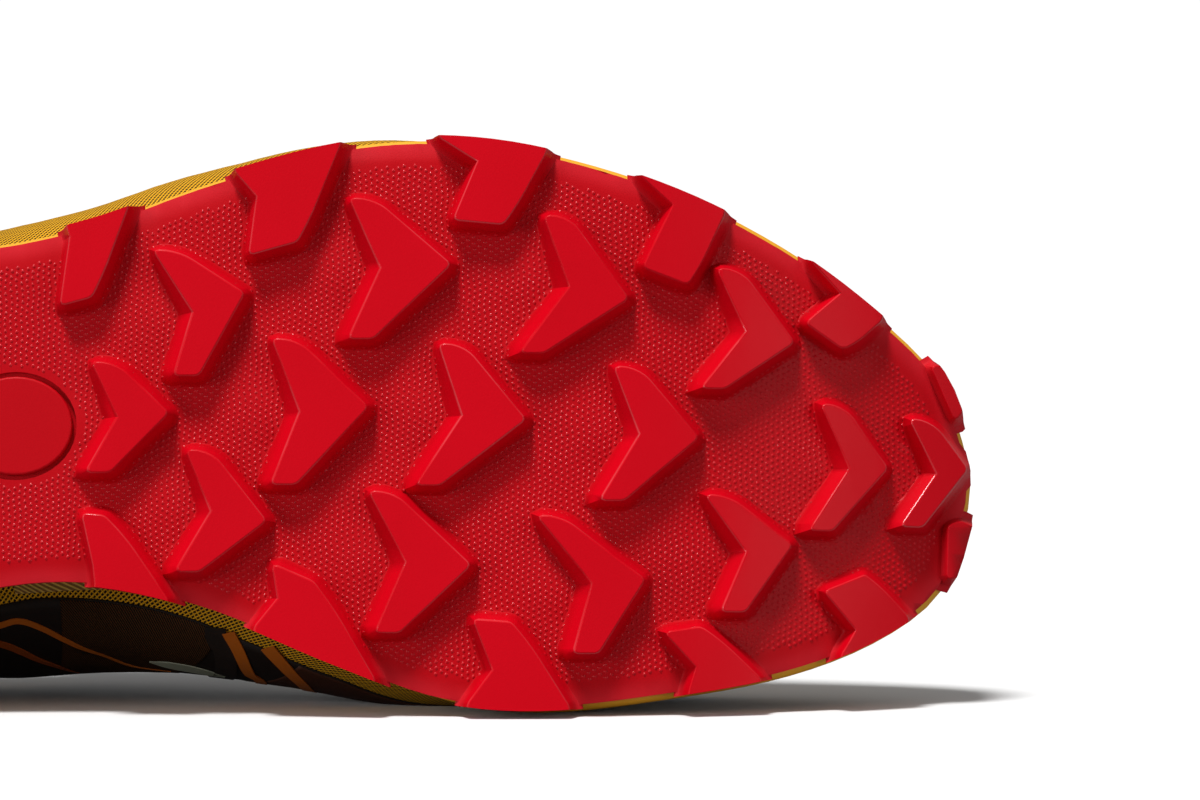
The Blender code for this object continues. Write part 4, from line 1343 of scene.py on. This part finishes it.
def tongueFace(u, across):
    # u runs from the flap's tip (0) to the tongue's root (1)
    flapShare = tongueSizes["flapShare"]
    distance = tongueSizes["flap"] * np.clip(1 - u / flapShare, 0, 1)
    side = tongueSizes["from"] + (tongueSizes["to"] - tongueSizes["from"]) * np.clip(
        (u - flapShare) / (1 - flapShare), 0, 1)
    face = throatLine(side, across)
    known, widths, bows = (np.array(row, float) for row in flapWidths)
    width = np.interp(distance, known * mm, widths)[:, None]
    bow = np.interp(distance, known * mm, bows * mm)
    narrowed = tongueCentre + (face - tongueCentre) * np.where(distance[:, None] > 0, width, 1)
    bowed = np.column_stack([0 * bow, 0 * bow, bow])
    return narrowed + tongueRise * distance[:, None] + bowed


def flapAxes():
    # The middle of the throat's upper end, and the way that the flap runs on from it
    across = np.linspace(0, 1, 15)
    first, further = [throatLine(np.full(15, tongueSizes["from"] + more), across).mean(axis=0)
                      for more in (0, 2 / 32)]
    return first, (first - further) / np.linalg.norm(first - further)


tongueCentre, tongueRise = flapAxes()


def tongueFacing(u, across):
    onward = tongueFace(u + 0.004, across) - tongueFace(u - 0.004, across)
    sideways = tongueFace(u, np.minimum(across + 0.01, 1)) - tongueFace(u, np.maximum(across - 0.01, 0))
    return unitRows(np.cross(onward, sideways))


def tongueSection(u, v):
    over = v < 0.5
    across = np.where(over, 2 * v, 2 - 2 * v)
    edge = np.clip(1 - (2 * across - 1) ** 10, 0, 1) ** 0.5
    ends = np.clip(np.minimum(u, 1 - u) / 0.03, 0, 1) ** 0.5
    channels = sum(np.exp(-((across - spot) / tongueSizes["channelWidth"]) ** 2)
                   for spot in tongueSizes["channels"])
    channels = channels * np.clip(np.minimum(u - 0.05, 0.97 - u) / 0.05, 0, 1)
    full = tongueSizes["thick"] * (0.25 + 0.75 * edge * (0.35 + 0.65 * ends))
    depth = np.where(over, tongueSizes["channel"] * channels, full)
    middle = 0.5 * tongueSizes["thick"]
    depth = middle + (depth - middle) * np.where(edge * ends > 0, 1, 0)
    return tongueFace(u, across) - tongueFacing(u, across) * depth[:, None]


tongue = addPiece("tongue_padding", rollSheet(90, 72, tongueSection), darkKnit,
                  ["tongue"])


# Laces: each crossing comes up out of an eyelet, runs over the tongue and tucks under the other facing

cordSizes = {
    "radius": 1.2 * mm,
    "over": 2.3 * mm,  # how much higher the upper cord of a crossing runs
    "around": 12,
    "steps": 60,
}


def lacePath(place, nextPlace, side, raised):
    # It starts at (distance from the upper, how far from the eyelet towards the throat's edge)
    above = cordSizes["radius"]
    start = [eyeletAt(place, side, distance, inward)[0] for distance, inward in (
        (-0.6 * mm, 0), (stayTop - 0.2 * mm, 0.2 * mm), (stayTop + above, 2.4 * mm),
        (stayTop + above, 6.0 * mm))]
    span = np.array([0.2, 0.34, 0.5, 0.66, 0.8])
    tuck = tongueSizes["tuck"]
    across = tuck + (1 - 2 * tuck) * (span if side == 1 else 1 - span)
    sides = place + (nextPlace - place) * (0.25 + 0.5 * span)
    rise = above + 0.3 * mm + raised * np.exp(-((span - 0.5) / 0.17) ** 2)
    flapShare = tongueSizes["flapShare"]
    u = flapShare + (1 - flapShare) * (sides - tongueSizes["from"]) / (
        tongueSizes["to"] - tongueSizes["from"])
    middle = tongueFace(u, across) + tongueFacing(u, across) * rise[:, None]
    under = -(last["upperWall"] + last["seatGap"] + 0.9 * mm)
    finish = [eyeletAt(nextPlace, -side, under, inward)[0] for inward in (5.5 * mm, 2 * mm)]
    finish.append(eyeletAt(nextPlace, -side, -0.8 * mm)[0])
    return smoothLine(np.vstack([start, middle, finish]), cordSizes["steps"])


def sweepCord(path):
    ways = unitRows(np.gradient(path, axis=0))
    sideways = unitRows(np.cross(ways, np.array([[0.3, 0.1, 1.0]])))
    upward = np.cross(sideways, ways)

    def placeAt(u, v):
        index = np.clip(np.round(u * (len(path) - 1)).astype(int), 0, len(path) - 1)
        angle = 2 * pi * v
        plait = cordSizes["radius"] * (1 + 0.05 * np.cos(3 * angle + index * 1.6))
        return path[index] + (sideways[index] * np.cos(angle)[:, None]
                              + upward[index] * np.sin(angle)[:, None]) * plait[:, None]

    return rollSheet(len(path) - 1, cordSizes["around"], placeAt)


cords = []
for index in range(5):
    for side in (1, -1):
        raised = cordSizes["over"] if (side == 1) == (index % 2 == 0) else 0.0
        cords.append(sweepCord(lacePath(lacePlaces[index + 1], lacePlaces[index], side, raised)))
addPiece("lace_cords", gather(cords), laceCord, ["laces"])
print("tongue and laces made")


# Welded films on the sides of the upper: a dark panel, slanting bars, thin curves and small marks

filmSizes = {
    "panelGap": 0.04 * mm,
    "panelWall": 0.30 * mm,
    "patchWall": 0.10 * mm,
    "markGap": 0.36 * mm,
    "markWall": 0.22 * mm,
    "lateralRise": 0.30,  # how much higher the films lie on the lateral side
}


def bandTop(turn):
    # Where the open mesh band ends on the medial side
    known = (0.55, 0.60, 0.678, 0.6925, 0.7025, 0.7163, 0.728, 0.7406, 0.75, 0.762, 0.786, 0.80, 0.93)
    shares = (0.27, 0.24, 0.210, 0.180, 0.155, 0.128, 0.108, 0.095, 0.080, 0.070, 0.064, 0.060, 0.12)
    return np.interp(turn, known, shares)


def medialPanel(turn):
    fade = np.clip((turn - 0.565) / 0.10, 0, 1) ** 0.6 * np.clip((0.93 - turn) / 0.06, 0, 1) ** 0.5
    low = bandTop(turn)
    return low, low + 0.02 + (0.80 - low) * fade


def lateralPanel(turn):
    low, high = medialPanel(1 - turn)
    low = low + filmSizes["lateralRise"] * np.clip((turn - 0.08) / 0.1, 0, 1)
    return low, np.maximum(high, low + 0.02)


panelTop = filmSizes["panelGap"] + filmSizes["panelWall"]
patchPiece("medial_panel", (0.57, 0.925), medialPanel, filmSizes["panelGap"], filmSizes["panelWall"],
           nightFilm, (150, 30))
patchPiece("weave_patch", (0.7430, 0.7925), lambda turn: (bandTop(turn) + 0.004, 0.36), panelTop,
           filmSizes["patchWall"], brownWeave, (60, 30))
patchPiece("front_patch", (0.640, 0.7175), lambda turn: (bandTop(turn) + 0.004, 0.46), panelTop,
           filmSizes["patchWall"], duskFilm, (60, 20))
patchPiece("lateral_panel", (0.075, 0.43), lateralPanel, filmSizes["panelGap"], filmSizes["panelWall"],
           nightFilm, (150, 30))

# Each route is spots of (turn, share), with its widths in millimetres
Mark = namedtuple("Mark", "name material route widths both")
marks = (
    Mark("film_strip", darkFilm, ((0.7455, 0.084), (0.7430, 0.12), (0.7385, 0.158), (0.7310, 0.27),
                                  (0.724, 0.40), (0.716, 0.55)), (4.4, 4.6, 4.6, 4.4, 4.0, 3.0), True),
    Mark("bar_back", orangeFilm, ((0.7412, 0.088), (0.735, 0.14), (0.7256, 0.235), (0.7194, 0.28),
                                  (0.710, 0.40), (0.704, 0.50)), (2.9, 2.8, 2.6, 2.5, 2.2, 1.6), True),
    Mark("bar_front", orangeFilm, ((0.7288, 0.097), (0.7206, 0.15), (0.711, 0.225), (0.7025, 0.305),
                                   (0.692, 0.40), (0.684, 0.50)), (3.3, 3.2, 2.9, 2.6, 2.2, 1.6), True),
    Mark("curve_low", orangeFilm, ((0.850, 0.190), (0.836, 0.165), (0.822, 0.135), (0.8113, 0.115),
                                   (0.8056, 0.110), (0.7994, 0.133), (0.7931, 0.165),
                                   (0.7856, 0.200), (0.7775, 0.230), (0.7638, 0.280),
                                   (0.748, 0.31)),
         (0.6, 1.0, 1.3, 1.4, 1.4, 1.35, 1.3, 1.2, 1.0, 0.7, 0.15), True),
    Mark("curve_high", emberFilm, ((0.850, 0.250), (0.832, 0.200), (0.8200, 0.165), (0.8131, 0.178),
                                   (0.8069, 0.213), (0.8013, 0.252), (0.7925, 0.30), (0.7831, 0.355)),
         (0.5, 1.3, 1.7, 1.75, 1.7, 1.4, 1.0, 0.3), True),
    Mark("side_mark", greyFilm, ((0.7590, 0.243), (0.7515, 0.255), (0.7400, 0.275), (0.7290, 0.300)),
         (0.3, 3.2, 4.0, 1.8), False),
    Mark("edge_strip", paleMesh, ((0.8050, 0.034), (0.7960, 0.036), (0.7840, 0.034), (0.7760, 0.030)),
         (2.0, 2.3, 2.2, 1.6), False),
)


def buildMark(mark, mirrored):
    # A thin film along a route, from one edge to the other
    count = 60
    flat = smoothLine([(turn, share, width) for (turn, share), width in zip(mark.route, mark.widths)],
                      count + 1)
    turn = 1 - flat[:, 0] if mirrored else flat[:, 0]
    share = flat[:, 1] + (filmSizes["lateralRise"] if mirrored else 0)
    middle = besideUpper(turn, share, filmSizes["markGap"])
    facing = upperFacing(turn, share)
    ways = np.gradient(middle, axis=0)
    sideways = unitRows(np.cross(facing, ways))
    widths = np.maximum(flat[:, 2], 0.12) * mm

    def placeAt(u, v):
        index = np.round(u * count).astype(int)
        return middle[index] + sideways[index] * (widths[index] * (v - 0.5))[:, None]

    bm = makeSheet(count, 2, placeAt)
    whole = bm.verts[:] + bm.edges[:] + bm.faces[:]
    bm.normal_update()
    half = Vector(middle[count // 2])
    nearest = min(bm.faces, key=lambda face: (face.calc_center_median() - half).length)
    if nearest.normal.dot(Vector(facing[count // 2])) < 0:
        bmesh.ops.reverse_faces(bm, faces=bm.faces)
    bmesh.ops.solidify(bm, geom=whole, thickness=-filmSizes["markWall"])
    bmesh.ops.recalc_face_normals(bm, faces=bm.faces)
    return bm


for mark in marks:
    parts = [buildMark(mark, False)] + ([buildMark(mark, True)] if mark.both else [])
    addPiece(mark.name, gather(parts), mark.material, crisp=40)
print("side films made")


# Camera, floor and light

viewSizes = {
    "along": 76 * mm,  # where the camera looks, in the frame
    "height": 61 * mm,
    "distance": 818.5 * mm,
    "lens": 118.6,
}


def setCamera():
    camera = bpy.data.cameras.new("camera")
    camera.lens = viewSizes["lens"]
    camera.sensor_width = 36
    camera.clip_start = 0.01
    holder = newObject("camera", camera)
    holder.location = (viewSizes["along"], -viewSizes["distance"], viewSizes["height"])
    holder.rotation_euler = (radians(90), 0, 0)
    bpy.context.scene.camera = holder


def setFloor():
    # White as the camera sees it, and darker as it lights the shoe from below
    bm = bmesh.new()
    bmesh.ops.create_grid(bm, x_segments=1, y_segments=1, size=6)
    floor = looseObject("floor", bm)
    material, tree, shader = newMaterial("paleFloor", {"Roughness": 0.8, "Specular IOR Level": 0.0})
    path = addNode(tree, "ShaderNodeLightPath")
    color = mixColor(tree, path.outputs["Is Camera Ray"], (0.26, 0.26, 0.26), (0.90, 0.90, 0.90))
    tree.links.new(color, shader.inputs["Base Color"])
    floor.data.materials.append(material)


def setSun(name, toward, power, softness):
    # toward points from the shoe to the light
    light = bpy.data.lights.new(name, "SUN")
    light.energy = power
    light.angle = radians(softness)
    holder = newObject(name, light)
    holder.rotation_euler = Vector(toward).to_track_quat("Z", "Y").to_euler()


def setWorld(strength):
    # Soft white surroundings, and plain white where the camera sees past the floor
    world = bpy.data.worlds.new("studio")
    world.use_nodes = True
    tree = world.node_tree
    back = tree.nodes["Background"]
    back.inputs["Color"].default_value = (1, 1, 1, 1)
    back.inputs["Strength"].default_value = strength
    seen = addNode(tree, "ShaderNodeBackground", None, None,
                   {"Color": (1, 1, 1, 1), "Strength": 1.05})
    path = addNode(tree, "ShaderNodeLightPath")
    mix = tree.nodes.new("ShaderNodeMixShader")
    tree.links.new(path.outputs["Is Camera Ray"], mix.inputs[0])
    tree.links.new(back.outputs[0], mix.inputs[1])
    tree.links.new(seen.outputs[0], mix.inputs[2])
    tree.links.new(mix.outputs[0], tree.nodes["World Output"].inputs["Surface"])
    bpy.context.scene.world = world


setCamera()
setFloor()
setSun("key", (-0.20, -0.42, 1.0), 3.2, 14)
setSun("left", (-0.85, -0.75, 0.14), 1.0, 30)
setSun("right", (0.90, -0.85, 0.10), 0.5, 25)
setWorld(0.24)
bpy.context.scene.view_settings.view_transform = "Standard"
print("camera, floor and light set")
